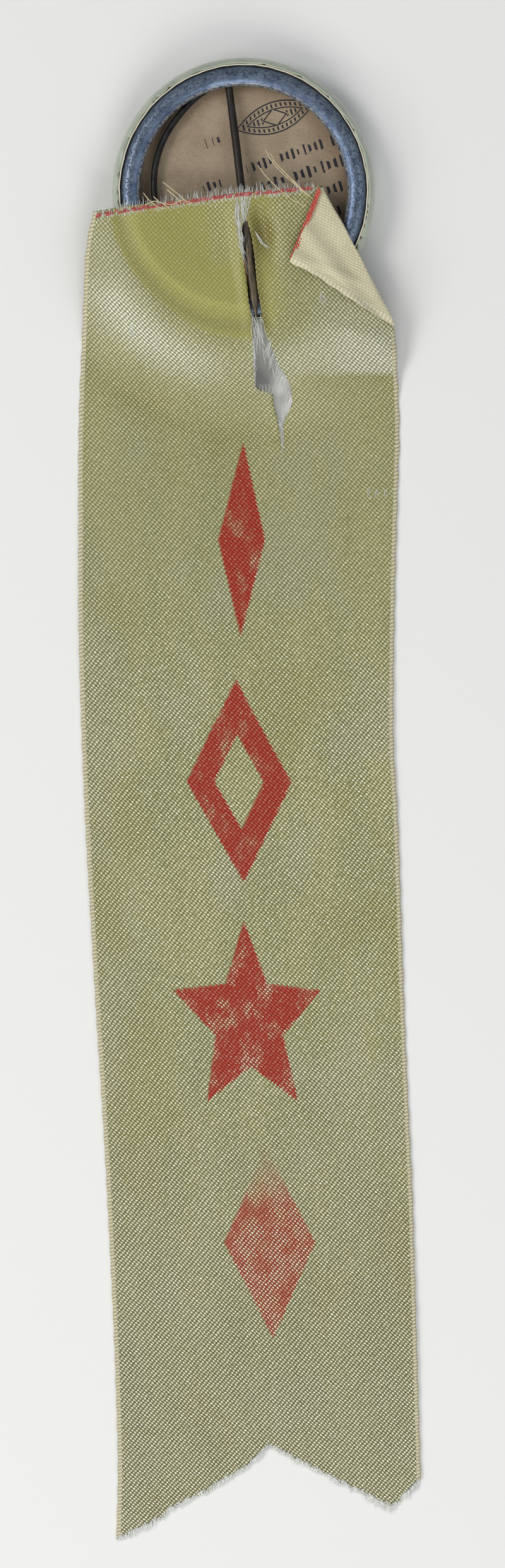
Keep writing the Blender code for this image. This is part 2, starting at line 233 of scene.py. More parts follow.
# ------------------------------------------------------------------ material helper
class Mat:
    def __init__(self, name):
        self.mat = bpy.data.materials.new(name)
        self.mat.use_nodes = True
        self.t = self.mat.node_tree
        self.bsdf = self.t.nodes["Principled BSDF"]

    def set(self, **kw):
        for k, v in kw.items():
            self.bsdf.inputs[k.replace("_", " ")].default_value = (*v, 1.0) if isinstance(v, tuple) and len(v) == 3 else v

    def put(self, node, key, value):
        if value is None:
            return
        if hasattr(value, "links"):
            self.t.links.new(value, node.inputs[key])
        else:
            if isinstance(value, tuple) and len(value) == 3 and node.inputs[key].type == "RGBA":
                value = (*value, 1.0)
            node.inputs[key].default_value = value

    def m(self, op, a, b=None, c=None, clamp=False):
        n = self.t.nodes.new("ShaderNodeMath")
        n.operation, n.use_clamp = op, clamp
        for i, v in enumerate((a, b, c)):
            self.put(n, i, v)
        return n.outputs[0]

    def vm(self, op, a, b=None):
        n = self.t.nodes.new("ShaderNodeVectorMath")
        n.operation = op
        self.put(n, 0, a)
        if op == "SCALE":
            self.put(n, "Scale", b)
        else:
            self.put(n, 1, b)
        return n.outputs[0]

    def mix(self, fac, a, b, kind="MIX"):
        n = self.t.nodes.new("ShaderNodeMix")
        n.data_type, n.blend_type = "RGBA", kind
        self.put(n, 0, fac)
        self.put(n, 6, a if not isinstance(a, tuple) else (*a, 1.0))
        self.put(n, 7, b if not isinstance(b, tuple) else (*b, 1.0))
        return n.outputs[2]

    def noise(self, vec, scale, detail=2.0, rough=0.5):
        n = self.t.nodes.new("ShaderNodeTexNoise")
        self.put(n, "Vector", vec)
        self.put(n, "Scale", scale)
        self.put(n, "Detail", detail)
        self.put(n, "Roughness", rough)
        return n.outputs["Fac"]

    def voronoi(self, vec, scale, out="Distance"):
        n = self.t.nodes.new("ShaderNodeTexVoronoi")
        self.put(n, "Vector", vec)
        self.put(n, "Scale", scale)
        return n.outputs[out]

    def ramp(self, fac, lo, hi):
        n = self.t.nodes.new("ShaderNodeMapRange")
        n.interpolation_type = "SMOOTHSTEP"
        self.put(n, "Value", fac)
        self.put(n, "From Min", lo)
        self.put(n, "From Max", hi)
        return n.outputs[0]

    def attr(self, name):
        n = self.t.nodes.new("ShaderNodeAttribute")
        n.attribute_name = name
        return n

    def sep(self, vec):
        n = self.t.nodes.new("ShaderNodeSeparateXYZ")
        self.put(n, 0, vec)
        return n.outputs

    def comb(self, x, y, z=0.0):
        n = self.t.nodes.new("ShaderNodeCombineXYZ")
        for i, v in enumerate((x, y, z)):
            self.put(n, i, v)
        return n.outputs[0]

    def obj_mm(self):
        """Object coordinates in millimetres."""
        n = self.t.nodes.new("ShaderNodeTexCoord")
        return self.vm("SCALE", n.outputs["Object"], 1000.0)

    def bump(self, height, strength, distance, normal=None):
        n = self.t.nodes.new("ShaderNodeBump")
        self.put(n, "Height", height)
        self.put(n, "Strength", strength)
        self.put(n, "Distance", distance)
        if normal is not None:
            self.put(n, "Normal", normal)
        return n.outputs[0]

    def out(self, colour=None, rough=None, normal=None):
        if colour is not None:
            self.put(self.bsdf, "Base Color", colour)
        if rough is not None:
            self.put(self.bsdf, "Roughness", rough)
        if normal is not None:
            self.put(self.bsdf, "Normal", normal)
        return self.mat


TAU = 2 * math.pi


def lozenge(k, u, v, cu, cv, hu, hv):
    """About 0 at the centre and 1 on the rim of a lozenge."""
    a = k.m("DIVIDE", k.m("ABSOLUTE", k.m("SUBTRACT", u, cu)), hu)
    b = k.m("DIVIDE", k.m("ABSOLUTE", k.m("SUBTRACT", v, cv)), hv)
    return k.m("ADD", a, b)


def star(k, u, v, cu, cv, hu, hv, inner=0.46):
    """About 1 on the rim of a five-point star."""
    x = k.m("DIVIDE", k.m("SUBTRACT", u, cu), hu)
    y = k.m("DIVIDE", k.m("SUBTRACT", cv, v), hv)
    ang = k.m("ARCTAN2", x, y)
    step = TAU / 5
    fold = k.m("ABSOLUTE", k.m("SUBTRACT", k.m("FLOORED_MODULO", k.m("ADD", ang, step / 2), step), step / 2))
    rad = k.m("SQRT", k.m("ADD", k.m("MULTIPLY", x, x), k.m("MULTIPLY", y, y)))
    px, py = k.m("MULTIPLY", rad, k.m("COSINE", fold)), k.m("MULTIPLY", rad, k.m("SINE", fold))
    ex, ey = inner * math.cos(step / 2) - 1.0, inner * math.sin(step / 2)
    n = math.hypot(ex, ey)
    nx, ny = ey / n, -ex / n
    return k.m("ADD", k.m("MULTIPLY", px, nx / nx), k.m("MULTIPLY", py, ny / nx))


def ornaments(k, iu, iv):
    """Four printed marks down the ribbon, as a mask: 1 inside them, the last one faint over part of its length."""
    d1 = lozenge(k, iu, iv, 0.55, -37.1, 2.9, 12.0)
    d2 = lozenge(k, iu, iv, -0.05, -6.85, 6.6, 12.9)
    d3 = star(k, iu, iv, -0.3, 24.0, 9.9, 13.0)
    d4 = lozenge(k, iu, iv, 1.0, 53.4, 5.9, 12.9)
    m1 = k.m("LESS_THAN", d1, 1.0)
    m2 = k.m("MULTIPLY", k.m("LESS_THAN", d2, 1.0), k.m("GREATER_THAN", d2, 0.47))
    m3 = k.m("LESS_THAN", d3, 1.0)
    m4 = k.m("LESS_THAN", d4, 1.0)
    m4 = k.m("MULTIPLY", m4, k.m("ADD", 0.12, k.m("MULTIPLY", k.ramp(iv, 41.5, 50.0), 0.88)))
    return k.m("MAXIMUM", k.m("MAXIMUM", m1, m2), k.m("MAXIMUM", m3, m4))


def silk(name, back=False):
    k = Mat(name)
    co = k.attr("cloth").outputs["Vector"]
    u0, v0, _ = k.sep(co)
    # threads wander a little
    j = k.m("MULTIPLY", k.m("SUBTRACT", k.noise(co, 1.1, 4.0, 0.65), 0.5), 0.42)
    j2 = k.m("MULTIPLY", k.m("SUBTRACT", k.noise(k.vm("ADD", co, (31.0, 7.0, 0.0)), 0.9, 4.0, 0.65), 0.5), 0.42)
    u, v = k.m("ADD", u0, j), k.m("ADD", v0, j2)
    fine = k.noise(co, 2.6, 2.0, 0.6)
    if back:
        u, v = k.m("ADD", u0, k.m("MULTIPLY", j, 0.35)), k.m("ADD", v0, k.m("MULTIPLY", j2, 0.35))
        c1 = k.m("COSINE", k.m("ADD", k.m("MULTIPLY", u, TAU / 0.31), k.m("MULTIPLY", v, TAU / 2.9)))
        c2 = k.m("COSINE", k.m("SUBTRACT", k.m("MULTIPLY", v, TAU / 0.44), k.m("MULTIPLY", u, TAU / 0.9)))
        p = k.m("ADD", k.m("ADD", 0.5, k.m("MULTIPLY", c1, 0.24)), k.m("MULTIPLY", c2, 0.11))
        tone = k.noise(co, 0.22, 3.0)
        low = k.mix(k.ramp(tone, 0.35, 0.65), (0.435, 0.395, 0.240), (0.505, 0.465, 0.295))
        high = k.mix(k.ramp(fine, 0.3, 0.7), (0.60, 0.56, 0.39), (0.70, 0.665, 0.49))
        col = k.mix(k.ramp(p, 0.1, 0.95), low, high)
        # the ink ghosts through, weak and uneven
        ghost = k.m("MULTIPLY", ornaments(k, k.m("ADD", u0, j), k.m("ADD", v0, j2)), k.ramp(k.noise(co, 0.7, 4.0, 0.65), 0.30, 0.66))
        col = k.mix(k.m("MULTIPLY", ghost, k.m("SUBTRACT", 0.34, k.m("MULTIPLY", p, 0.18))), col, (0.44, 0.10, 0.05))
        sel = k.ramp(k.m("ABSOLUTE", u0), 18.98, 19.12)
        col = k.mix(sel, col, k.mix(k.ramp(k.m("COSINE", k.m("MULTIPLY", v0, TAU / 0.5)), -0.6, 0.6), (0.56, 0.51, 0.34), (0.72, 0.68, 0.5)))
        k.set(Sheen_Weight=0.25, Sheen_Roughness=0.4, Specular_IOR_Level=0.45)
        rough = k.m("SUBTRACT", 0.62, k.m("MULTIPLY", p, 0.16))
        height = k.m("ADD", p, k.m("MULTIPLY", fine, 0.4))
        return k.out(col, rough, k.bump(height, 0.35, 0.00004))
    f1 = k.m("ADD", k.m("MULTIPLY", u, -1.887 * TAU), k.m("MULTIPLY", v, 2.26 * TAU))
    f2 = k.m("ADD", k.m("MULTIPLY", u, 1.635 * TAU), k.m("MULTIPLY", v, 1.342 * TAU))
    c1, c2 = k.m("COSINE", f1), k.m("COSINE", f2)
    p = k.m("ADD", 0.5, k.m("ADD", k.m("MULTIPLY", c1, 0.28), k.m("MULTIPLY", c2, 0.22)))
    knot_level = k.noise(co, 1.7, 2.0, 0.7)
    band = k.noise(k.vm("MULTIPLY", co, (0.16, 0.05, 1.0)), 1.0, 3.0)
    over = k.attr("over").outputs["Fac"]
    stain = k.noise(k.vm("ADD", co, (3.0, 17.0, 0.0)), 0.12, 3.0)
    # gaps, body of the weave, knots
    gap = k.mix(k.ramp(stain, 0.35, 0.7), (0.090, 0.092, 0.040), (0.124, 0.118, 0.044))
    body = k.mix(k.ramp(band, 0.3, 0.7), (0.238, 0.240, 0.099), (0.296, 0.288, 0.113))
    knot = k.mix(k.ramp(knot_level, 0.3, 0.72), (0.46, 0.46, 0.285), (0.88, 0.87, 0.66))
    slub = k.noise(k.vm("MULTIPLY", co, (0.55, 2.1, 1.0)), 1.0, 3.0, 0.7)
    clump = k.noise(k.vm("ADD", co, (5.0, 41.0, 0.0)), 1.15, 3.0, 0.75)
    shine = k.m("ADD", k.m("MULTIPLY", slub, 0.5), k.m("MULTIPLY", clump, 0.5))
    bright = k.ramp(shine, 0.50, 0.66)
    dull = k.ramp(shine, 0.50, 0.36)
    body = k.mix(k.m("MULTIPLY", bright, 0.36), body, (0.40, 0.40, 0.23))
    body = k.mix(k.m("MULTIPLY", dull, 0.36), body, (0.130, 0.135, 0.048))
    knot = k.mix(k.m("MULTIPLY", dull, 0.40), knot, (0.40, 0.40, 0.22))
    # broad patches: yellower where the dye held, and paler silvery patches that are painted sheen, most along the left
    # selvedge
    patch = k.noise(k.vm("ADD", k.vm("MULTIPLY", co, (0.075, 0.042, 1.0)), (2.7, 6.1, 0.0)), 1.0, 3.0, 0.55)
    left_edge_sheen = k.m("MULTIPLY", k.ramp(u0, -9.0, -18.5), k.ramp(v0, -62.0, -20.0))
    painted_silver_sheen = k.m("MAXIMUM", k.ramp(patch, 0.52, 0.66), k.m("MULTIPLY", left_edge_sheen, 0.75))
    golden = k.ramp(patch, 0.48, 0.34)
    body = k.mix(k.m("MULTIPLY", painted_silver_sheen, 0.50), body, (0.275, 0.275, 0.165))
    knot = k.mix(k.m("MULTIPLY", painted_silver_sheen, 0.45), knot, (0.80, 0.80, 0.68))
    body = k.mix(k.m("MULTIPLY", golden, 0.50), body, (0.215, 0.203, 0.050))
    knot = k.mix(k.m("MULTIPLY", golden, 0.35), knot, (0.58, 0.55, 0.28))
    # painted shade: over the button the cloth turns a darker yellow-olive and its knots lose their highlights
    body = k.mix(over, body, (0.312, 0.296, 0.082))
    gap = k.mix(over, gap, (0.232, 0.218, 0.062))
    knot = k.mix(k.m("MULTIPLY", over, 0.96), knot, (0.368, 0.352, 0.122))
    painted_slope_shade = k.attr("painted_slope_shade").outputs["Fac"]
    painted_crest_highlight = k.attr("painted_crest_highlight").outputs["Fac"]
    painted_sheen = k.attr("painted_sheen").outputs["Fac"]
    rust = k.attr("rust").outputs["Fac"]
    foot = k.attr("foot").outputs["Fac"]
    # painted knot highlights vary down the ribbon: calm makes the knots paler and weaker higher up, away from the
    # button and the sheen band; lower brightens the knots and darkens body and gaps towards the tail's end
    lower = k.ramp(v0, 12.0, 84.0)
    calm = k.m("MULTIPLY", k.ramp(v0, -12.0, -44.0), k.m("SUBTRACT", 1.0, painted_sheen, clamp=True))
    calm = k.m("MULTIPLY", calm, k.m("SUBTRACT", 1.0, k.m("MULTIPLY", over, 0.9)))
    knot = k.mix(k.m("MULTIPLY", calm, 0.58), knot, (0.43, 0.415, 0.225))
    gap = k.mix(k.m("MULTIPLY", calm, 0.42), gap, (0.215, 0.212, 0.085))
    body = k.mix(k.m("MULTIPLY", lower, 0.42), body, (0.135, 0.132, 0.060))
    gap = k.mix(k.m("MULTIPLY", lower, 0.80), gap, (0.055, 0.049, 0.031))
    knot = k.mix(k.m("MULTIPLY", lower, 0.60), knot, (0.86, 0.85, 0.66))
    body = k.mix(k.m("MULTIPLY", foot, 0.7, clamp=True), body, (0.205, 0.190, 0.050))
    knot = k.mix(k.m("MULTIPLY", foot, 0.45, clamp=True), knot, (0.56, 0.54, 0.28))
    # painted shade: a darker olive ring on the steep cloth just outside the collet, left of the wire
    body = k.mix(k.m("MULTIPLY", painted_slope_shade, 0.55), body, (0.175, 0.168, 0.065))
    # painted highlight: a light yellow arc along the crest where the cloth is drawn over the collet
    body = k.mix(k.m("MULTIPLY", painted_crest_highlight, 0.55), body, (0.47, 0.44, 0.13))
    # painted sheen: pale, near-white knots in a band where the cloth falls from the button to the table
    body = k.mix(k.m("MULTIPLY", painted_sheen, 0.74), body, (0.47, 0.47, 0.35))
    knot = k.mix(k.m("MULTIPLY", painted_sheen, 0.80), knot, (0.98, 0.98, 0.92))
    gap = k.mix(k.m("MULTIPLY", painted_sheen, 0.45), gap, (0.20, 0.20, 0.12))
    # the rust mask here is painted shade: darker brown-olive cloth in the trough right of the wire and along the wire's
    # right side in the slit
    gap = k.mix(k.m("MULTIPLY", rust, 0.8), gap, (0.10, 0.075, 0.018))
    body = k.mix(k.m("MULTIPLY", rust, 0.85), body, (0.145, 0.115, 0.030))
    knot = k.mix(k.m("MULTIPLY", rust, 0.8), knot, (0.30, 0.26, 0.10))
    cloth = k.mix(k.ramp(p, 0.04, 0.46), gap, body)
    cloth = k.mix(k.ramp(p, 0.58, 0.86), cloth, knot)
    # painted glints: near-white flecks on the brightest knots, hushed over the button and higher up the ribbon
    painted_glint = k.m("MULTIPLY", k.ramp(p, 0.80, 0.94), k.ramp(k.noise(k.vm("ADD", co, (9.0, 2.0, 0.0)), 2.9, 1.0), 0.50, 0.60))
    hush = k.m("MAXIMUM", k.m("MULTIPLY", over, 0.8), k.m("MULTIPLY", calm, 0.7))
    cloth = k.mix(k.m("MULTIPLY", painted_glint, k.m("SUBTRACT", 1.0, hush)), cloth, (0.98, 0.98, 0.93))
    # printed ornaments, worn
    wob = k.m("MULTIPLY", k.m("SUBTRACT", k.noise(co, 1.9, 3.0), 0.5), 0.26)
    iu = k.m("ADD", k.m("ADD", u0, wob), k.m("MULTIPLY", c1, 0.13))
    iv = k.m("ADD", k.m("ADD", v0, wob), k.m("MULTIPLY", c2, 0.16))
    mask = ornaments(k, iu, iv)
    wear = k.noise(k.vm("MULTIPLY", co, (0.34, 0.19, 1.0)), 1.0, 5.0, 0.68)
    hold = k.m("ADD", 0.74, k.m("MULTIPLY", k.ramp(wear, 0.30, 0.52), 0.26))
    # the star and the last lozenge are worn down to their gaps more than the first two
    low_star = k.m("MULTIPLY", k.ramp(v0, 9.0, 12.0), k.ramp(iu, 9.5, 2.5))
    last = k.ramp(v0, 38.0, 44.0)
    lean_wear = k.m("ADD", k.m("MULTIPLY", low_star, 0.06), k.m("MULTIPLY", last, 0.10))
    bared = k.ramp(k.m("SUBTRACT", wear, lean_wear), 0.46, 0.30)
    grit = k.ramp(k.noise(co, 2.4, 2.0), 0.44, 0.58)
    bare = k.m("MULTIPLY", k.ramp(p, 0.50, 0.80), k.m("ADD", k.m("MULTIPLY", bared, 0.74), k.m("ADD", k.m("MULTIPLY", grit, 0.22), 0.06)), clamp=True)
    hold = k.m("SUBTRACT", hold, k.m("MULTIPLY", last, 0.14))
    ink_amt = k.m("MULTIPLY", mask, k.m("SUBTRACT", hold, k.m("MULTIPLY", bare, 0.95)), clamp=True)
    ink = k.mix(k.ramp(p, 0.1, 0.5), (0.19, 0.007, 0.001), (0.315, 0.015, 0.002))
    ink = k.mix(k.ramp(p, 0.66, 0.95), ink, (0.43, 0.046, 0.010))
    col = k.mix(ink_amt, cloth, ink)
    # woven edge
    sel = k.ramp(k.m("ABSOLUTE", u0), 19.12, 19.24)
    bead = k.m("COSINE", k.m("ADD", k.m("MULTIPLY", v0, TAU / 0.48), k.m("MULTIPLY", u0, 4.0)))
    selc = k.mix(k.ramp(bead, -0.9, 0.9), (0.34, 0.315, 0.19), (0.60, 0.56, 0.40))
    col = k.mix(sel, col, selc)
    height = k.m("ADD", k.m("MULTIPLY", p, k.m("SUBTRACT", 1.0, sel)), k.m("MULTIPLY", k.m("MULTIPLY", bead, 0.4), sel))
    height = k.m("ADD", height, k.m("MULTIPLY", fine, 0.25))
    flat = k.m("SUBTRACT", 1.0, k.m("MULTIPLY", over, 0.65))
    rough = k.m("ADD", k.m("SUBTRACT", 0.50, k.m("MULTIPLY", p, 0.18)), k.m("MULTIPLY", ink_amt, 0.12))
    k.set(Sheen_Weight=0.02, Sheen_Roughness=0.35, Specular_IOR_Level=0.32)
    return k.out(col, rough, k.bump(k.m("MULTIPLY", height, flat), 0.28, 0.00009))


def thread_mat(name, light, dark, rough=0.5):
    k = Mat(name)
    t = k.attr("tint").outputs["Fac"]
    n = k.noise(k.obj_mm(), 3.0, 2.0)
    col = k.mix(k.m("ADD", k.m("MULTIPLY", t, 0.75), k.m("MULTIPLY", n, 0.3), clamp=True), dark, light)
    k.set(Sheen_Weight=0.2, Specular_IOR_Level=0.5)
    return k.out(col, k.m("ADD", rough - 0.08, k.m("MULTIPLY", n, 0.16)), k.bump(n, 0.2, 0.00003))


SILK, SILK_BACK = silk("silk_face"), silk("silk_reverse", True)
WHITE = thread_mat("raw_silk_ends", (0.93, 0.94, 0.91), (0.50, 0.53, 0.51))
GOLD = thread_mat("loose_gold_thread", (0.78, 0.70, 0.46), (0.52, 0.42, 0.22), 0.4)
RED = thread_mat("red_weft", (0.60, 0.105, 0.095), (0.30, 0.024, 0.030), 0.55)
RED_CORNER = thread_mat("red_weft_corner", (0.72, 0.10, 0.06), (0.42, 0.026, 0.024), 0.55)


# ------------------------------------------------------------------ ribbon: one draped sheet over the button and on the table
def inside(poly, x, y):
    poly = np.asarray(poly, float)
    hit = np.zeros(np.shape(x), bool)
    for (x0, y0), (x1, y1) in zip(poly, np.roll(poly, -1, 0)):
        cross = ((y0 > y) != (y1 > y)) & (x < (x1 - x0) * (y - y0) / (y1 - y0 + 1e-12) + x0)
        hit ^= cross
    return hit


COLS = 150
SEAM_Y = 46.0
s = np.linspace(0, 1, COLS)
top_line = np.interp(s, [0, 0.12, 0.25, 0.42, 0.57, 0.72, 0.92, 1.0], [76.5, 77.05, 77.45, 78.05, 78.55, 78.95, 79.35, 79.5])
rows_a = [SEAM_Y + (top_line - SEAM_Y) * t for t in np.linspace(1, 0, 116)]
cut = np.interp(s, [0, 0.02, 0.075, 0.155, 0.165, 0.30, 0.42, 0.497, 0.505, 0.56, 0.72, 0.86, 0.905, 0.925, 0.94, 0.975, 1.0],
                [-94.3, -93.9, -92.7, -91.0, -90.2, -87.3, -84.2, -81.35, -81.3, -82.4, -86.0, -88.9, -89.6, -89.3, -88.0, -86.9, -85.6])
cut = cut + 0.10 * np.sin(s * 190) * np.sin(s * 47) + 0.06 * rng.standard_normal(COLS)
rows_b = [SEAM_Y + (cut - SEAM_Y) * t for t in np.linspace(0, 1, 176)[1:]]
Y = np.array(rows_a + rows_b)
S = np.broadcast_to(s, Y.shape)
X = left_x(Y) + S * (right_x(Y) - left_x(Y))
# selvedges are not ruled straight
X = X + 0.05 * np.sin(Y * 2.1) * (S < 0.01) + 0.05 * np.sin(Y * 1.7 + 1) * ((S > 0.99) & (Y < 60))
Z = cloth_height(X, Y)
y_full = np.minimum(Y, 61.4)
U = (X - left_x(Y)) * 2 * HALF_W / (right_x(y_full) - left_x(y_full)) - HALF_W
step = np.hypot(np.diff(Y, axis=0), np.diff(Z, axis=0))
V = np.concatenate([np.zeros((1, COLS)), np.cumsum(step, axis=0)])
seam_row = len(rows_a) - 1
V = V - V[seam_row] - SEAM_Y
r_b = np.hypot(X - BX, Y - BY)
right_of = smooth((X - 0.5) / 3.0)
# the over mask marks the cloth over the button that the silk paints duller and darker (painted shade), less so right of
# the wire
over = smooth((16.6 + 0.9 * smooth((X + 14) / 10) * smooth((66 - Y) / 4) - r_b + 0.8 * right_of) / (0.7 + 3.4 * right_of))
over = over * (1 - 0.38 * right_of)
# painted sheen band on the slope round the button, with a sharp lower edge on the right
painted_sheen = np.exp(-(((r_b - 20.2 - 0.8 * smooth((X + 14) / 10)) / 2.7) ** 2)) * smooth((70.5 - Y) / 5.0) * (0.75 + 0.25 * waves(X, Y, 31, 0.35))
painted_sheen = painted_sheen * (1 - 0.75 * np.exp(-(((X + 1.5) / 5.0) ** 2)))
painted_sheen_right = np.exp(-(((Y - 59.6) / np.where(Y > 59.6, 3.6, 6.0)) ** 2)) * smooth((X - 4.0) / 4.5) * (0.72 + 0.28 * waves(X, Y, 33, 0.30))
painted_sheen = np.maximum(painted_sheen * (1 - 0.35 * smooth((X - 3.0) / 3.0)), painted_sheen_right)
painted_sheen = np.clip(painted_sheen * (1 - smooth((X - 3.0) / 4.0) * smooth((57.9 - Y) / 0.9)), 0, 1)
foot = np.exp(-(((r_b - 27.0) / 3.0) ** 2)) * (1 - 0.6 * np.exp(-((X / 6.0) ** 2))) * smooth((68 - Y) / 4) * (0.7 + 0.3 * waves(X, Y, 41, 0.3))
# the rust mask is painted shade: the trough just right of the wire and a strip along the wire's right side in the slit
rust = np.exp(-(((X - arm_line(Y) - 2.0) / 1.6) ** 2)) * np.exp(-(((Y - 74.4) / 3.0) ** 2))
rust = np.maximum(rust, 0.7 * np.exp(-(((X - arm_line(Y) - 0.7) / 0.7) ** 2)) * smooth((Y - 61.5) / 2) * smooth((74 - Y) / 2))
over = over * (1 - 0.75 * smooth((X - arm_line(Y) - 2.6) / 2.0)) * (1 - 0.5 * np.exp(-(((X - arm_line(Y) + 3.2) / 1.6) ** 2)) * smooth((Y - 69) / 3))
side_of = smooth((arm_line(Y) + 1.0 - X) / 3.0)
# painted shade ring on the steep slope just outside the collet, left of the wire
painted_slope_shade = np.exp(-(((r_b - 15.3 - 0.5 * smooth((X + 14) / 10)) / 0.95) ** 2)) * side_of
# painted highlight along the crest of the cloth over the collet, left of the wire
painted_crest_highlight = np.exp(-(((r_b - 13.45) / 0.5) ** 2)) * side_of * smooth((r_b * 0 + X + 17.0) / 4.0)
rows, cols = Y.shape
i, j = np.meshgrid(np.arange(rows - 1), np.arange(cols - 1), indexing="ij")
quads = np.stack([i * cols + j, (i + 1) * cols + j, (i + 1) * cols + j + 1, i * cols + j + 1], -1).reshape(-1, 4)
cx = (X[:-1, :-1] + X[1:, 1:]).ravel() / 2
cy = (Y[:-1, :-1] + Y[1:, 1:]).ravel() / 2
jag = 0.10 * np.sin(cy * 9.0) + 0.08 * np.sin(cy * 23.0 + cx * 3)
keep = ~inside(TEAR, cx + jag, cy)
pts = np.stack([X, Y, Z], -1).reshape(-1, 3)
border = np.intersect1d(quads[keep].ravel(), quads[~keep].ravel())
quads = quads[keep]
outline = np.asarray(TEAR, float)
outline_b = np.roll(outline, -1, 0)
for v_ in border:
    at = pts[v_, :2]
    ab = outline_b - outline
    share = np.clip(((at - outline) * ab).sum(1) / (ab * ab).sum(1), 0, 1)
    spots = outline + share[:, None] * ab
    gap_ = np.linalg.norm(spots - at, axis=1)
    best = int(gap_.argmin())
    if gap_[best] < 0.42:
        ragged = 0.06 * math.sin(at[1] * 21.0) + 0.045 * math.sin(at[1] * 57.0)
        goal = spots[best] + (ragged, 0.0)
        U.ravel()[v_] += goal[0] - at[0]
        V.ravel()[v_] -= goal[1] - at[1]
        pts[v_] = (goal[0], goal[1], cloth_height(goal[0], goal[1]))
used = np.zeros(len(pts), bool)
used[quads.ravel()] = True
new = np.cumsum(used) - 1
ribbon = make(
    "ribbon_silk",
    pts[used],
    new[quads],
    None,
    [SILK],
    {
        "cloth": np.stack([U, V, np.zeros_like(U)], -1).reshape(-1, 3)[used],
        "over": over.ravel()[used],
        "painted_slope_shade": painted_slope_shade.ravel()[used],
        "painted_sheen": painted_sheen.ravel()[used],
        "rust": rust.ravel()[used],
        "foot": foot.ravel()[used],
        "painted_crest_highlight": painted_crest_highlight.ravel()[used],
    },
)


def thicken(obj, thickness, under=None):
    """Gives a sheet its thickness. under is the material of the side that faces down at rest."""
    bpy.context.view_layer.objects.active = obj
    mod = obj.modifiers.new("cloth", "SOLIDIFY")
    mod.thickness, mod.offset, mod.use_even_offset = thickness * MM, 0.0, False
    if under is not None:
        obj.data.materials.append(under)
        mod.material_offset = 1
    dg = bpy.context.evaluated_depsgraph_get()
    solid = bpy.data.meshes.new_from_object(obj.evaluated_get(dg), preserve_all_data_layers=True, depsgraph=dg)
    obj.modifiers.clear()
    old, obj.data = obj.data, solid
    bpy.data.meshes.remove(old)
    if under is not None:
        side = np.array([f.material_index for f in solid.polygons])
        up = np.array([f.normal.z * f.area for f in solid.polygons])
        if up[side == 0].sum() < 0:
            solid.polygons.foreach_set("material_index", (1 - side).astype(np.int32))


thicken(ribbon, CLOTH_T, SILK_BACK)
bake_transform(ribbon)
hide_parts("ribbon_head", "ribbon_tail")

# ------------------------------------------------------------------ folded corner, reverse side up, with a rolled crease
cr = (CREASE_E - CREASE_A) / np.linalg.norm(CREASE_E - CREASE_A)
out_n = np.array([-cr[1], cr[0]])  # away from the cloth
if out_n[0] < 0:
    out_n = -out_n
P_N, W_N, ROLL_N = 110, 60, 7
p = np.linspace(0, 1, P_N)
cy_ = CREASE_A[1] + (CREASE_E[1] - CREASE_A[1]) * p
crease = np.stack([right_x(cy_), cy_], -1)
edge = np.asarray(FLAP_EDGE, float)
seg = np.linalg.norm(np.diff(edge, axis=0), axis=1)
d_edge = np.concatenate([[0], np.cumsum(seg)])
tip_at = d_edge[4]
q = np.where(p < 0.36, p / 0.36 * tip_at, tip_at + (p - 0.36) / 0.64 * (d_edge[-1] - tip_at))
bound = np.stack([np.interp(q, d_edge, edge[:, 0]), np.interp(q, d_edge, edge[:, 1])], -1)
bound[:, 1] += 0.05 * np.sin(p * 60)
bulge = 0.17
grid, cloth_uv = [], []


def unfolded(xy):
    """Where a point of the flap lay before the corner was folded."""
    rel = xy - CREASE_A
    return CREASE_A + 2 * (rel @ cr)[:, None] * cr - rel


for a in np.linspace(0, np.pi, ROLL_N):
    xy = crease + out_n * bulge * np.sin(a)
    z = cloth_height(crease[:, 0], crease[:, 1]) + bulge * (1 - np.cos(a))
    grid.append(np.column_stack([xy, z]))
    cloth_uv.append(unfolded(crease - out_n * 0.17 * a))
for w in np.linspace(0, 1, W_N)[1:]:
    xy = crease * (1 - w) + bound * w
    gone = np.linalg.norm(xy - crease, axis=1)
    lift = 0.07 * gone + 0.30 * smooth((w - 0.72) / 0.28) * smooth((p - 0.4) / 0.15) * smooth((0.97 - p) / 0.2)
    fold_a = (xy[:, 0] - 9.3) * 0.80 + (xy[:, 1] - 70.0) * 0.60
    fold_b = (xy[:, 0] - 12.0) * 0.35 + (xy[:, 1] - 68.5) * 0.94
    lift = lift + smooth(gone / 2.0) * (0.30 * np.exp(-((fold_a / 0.9) ** 2)) - 0.16 * np.exp(-(((fold_a - 2.0) / 1.1) ** 2)) + 0.18 * np.exp(-((fold_b / 0.6) ** 2)))
    z = cloth_height(xy[:, 0], xy[:, 1]) + 2 * bulge + lift + 0.06 * waves(xy[:, 0], xy[:, 1], 9, 0.5)
    # the flap is stiffer than what lies under it
    flat_z = cloth_height(crease[:, 0], crease[:, 1]) + 2 * bulge
    z = np.maximum(z, flat_z * 0.15 + z * 0.85)
    grid.append(np.column_stack([xy, z]))
    cloth_uv.append(unfolded(xy))
grid, cloth_uv = np.array(grid), np.array(cloth_uv)
n_w = len(grid)
i, j = np.meshgrid(np.arange(n_w - 1), np.arange(P_N - 1), indexing="ij")
quads = np.stack([i * P_N + j, i * P_N + j + 1, (i + 1) * P_N + j + 1, (i + 1) * P_N + j], -1).reshape(-1, 4)
e0, e1 = np.array([4.2, 70.5]), np.array([16.8, 63.1])
e_dir = (e1 - e0) / np.linalg.norm(e1 - e0)
rel = grid.reshape(-1, 3)[:, :2] - e0
fv = rel @ e_dir
fu = HALF_W - np.abs(rel @ np.array([-e_dir[1], e_dir[0]]))
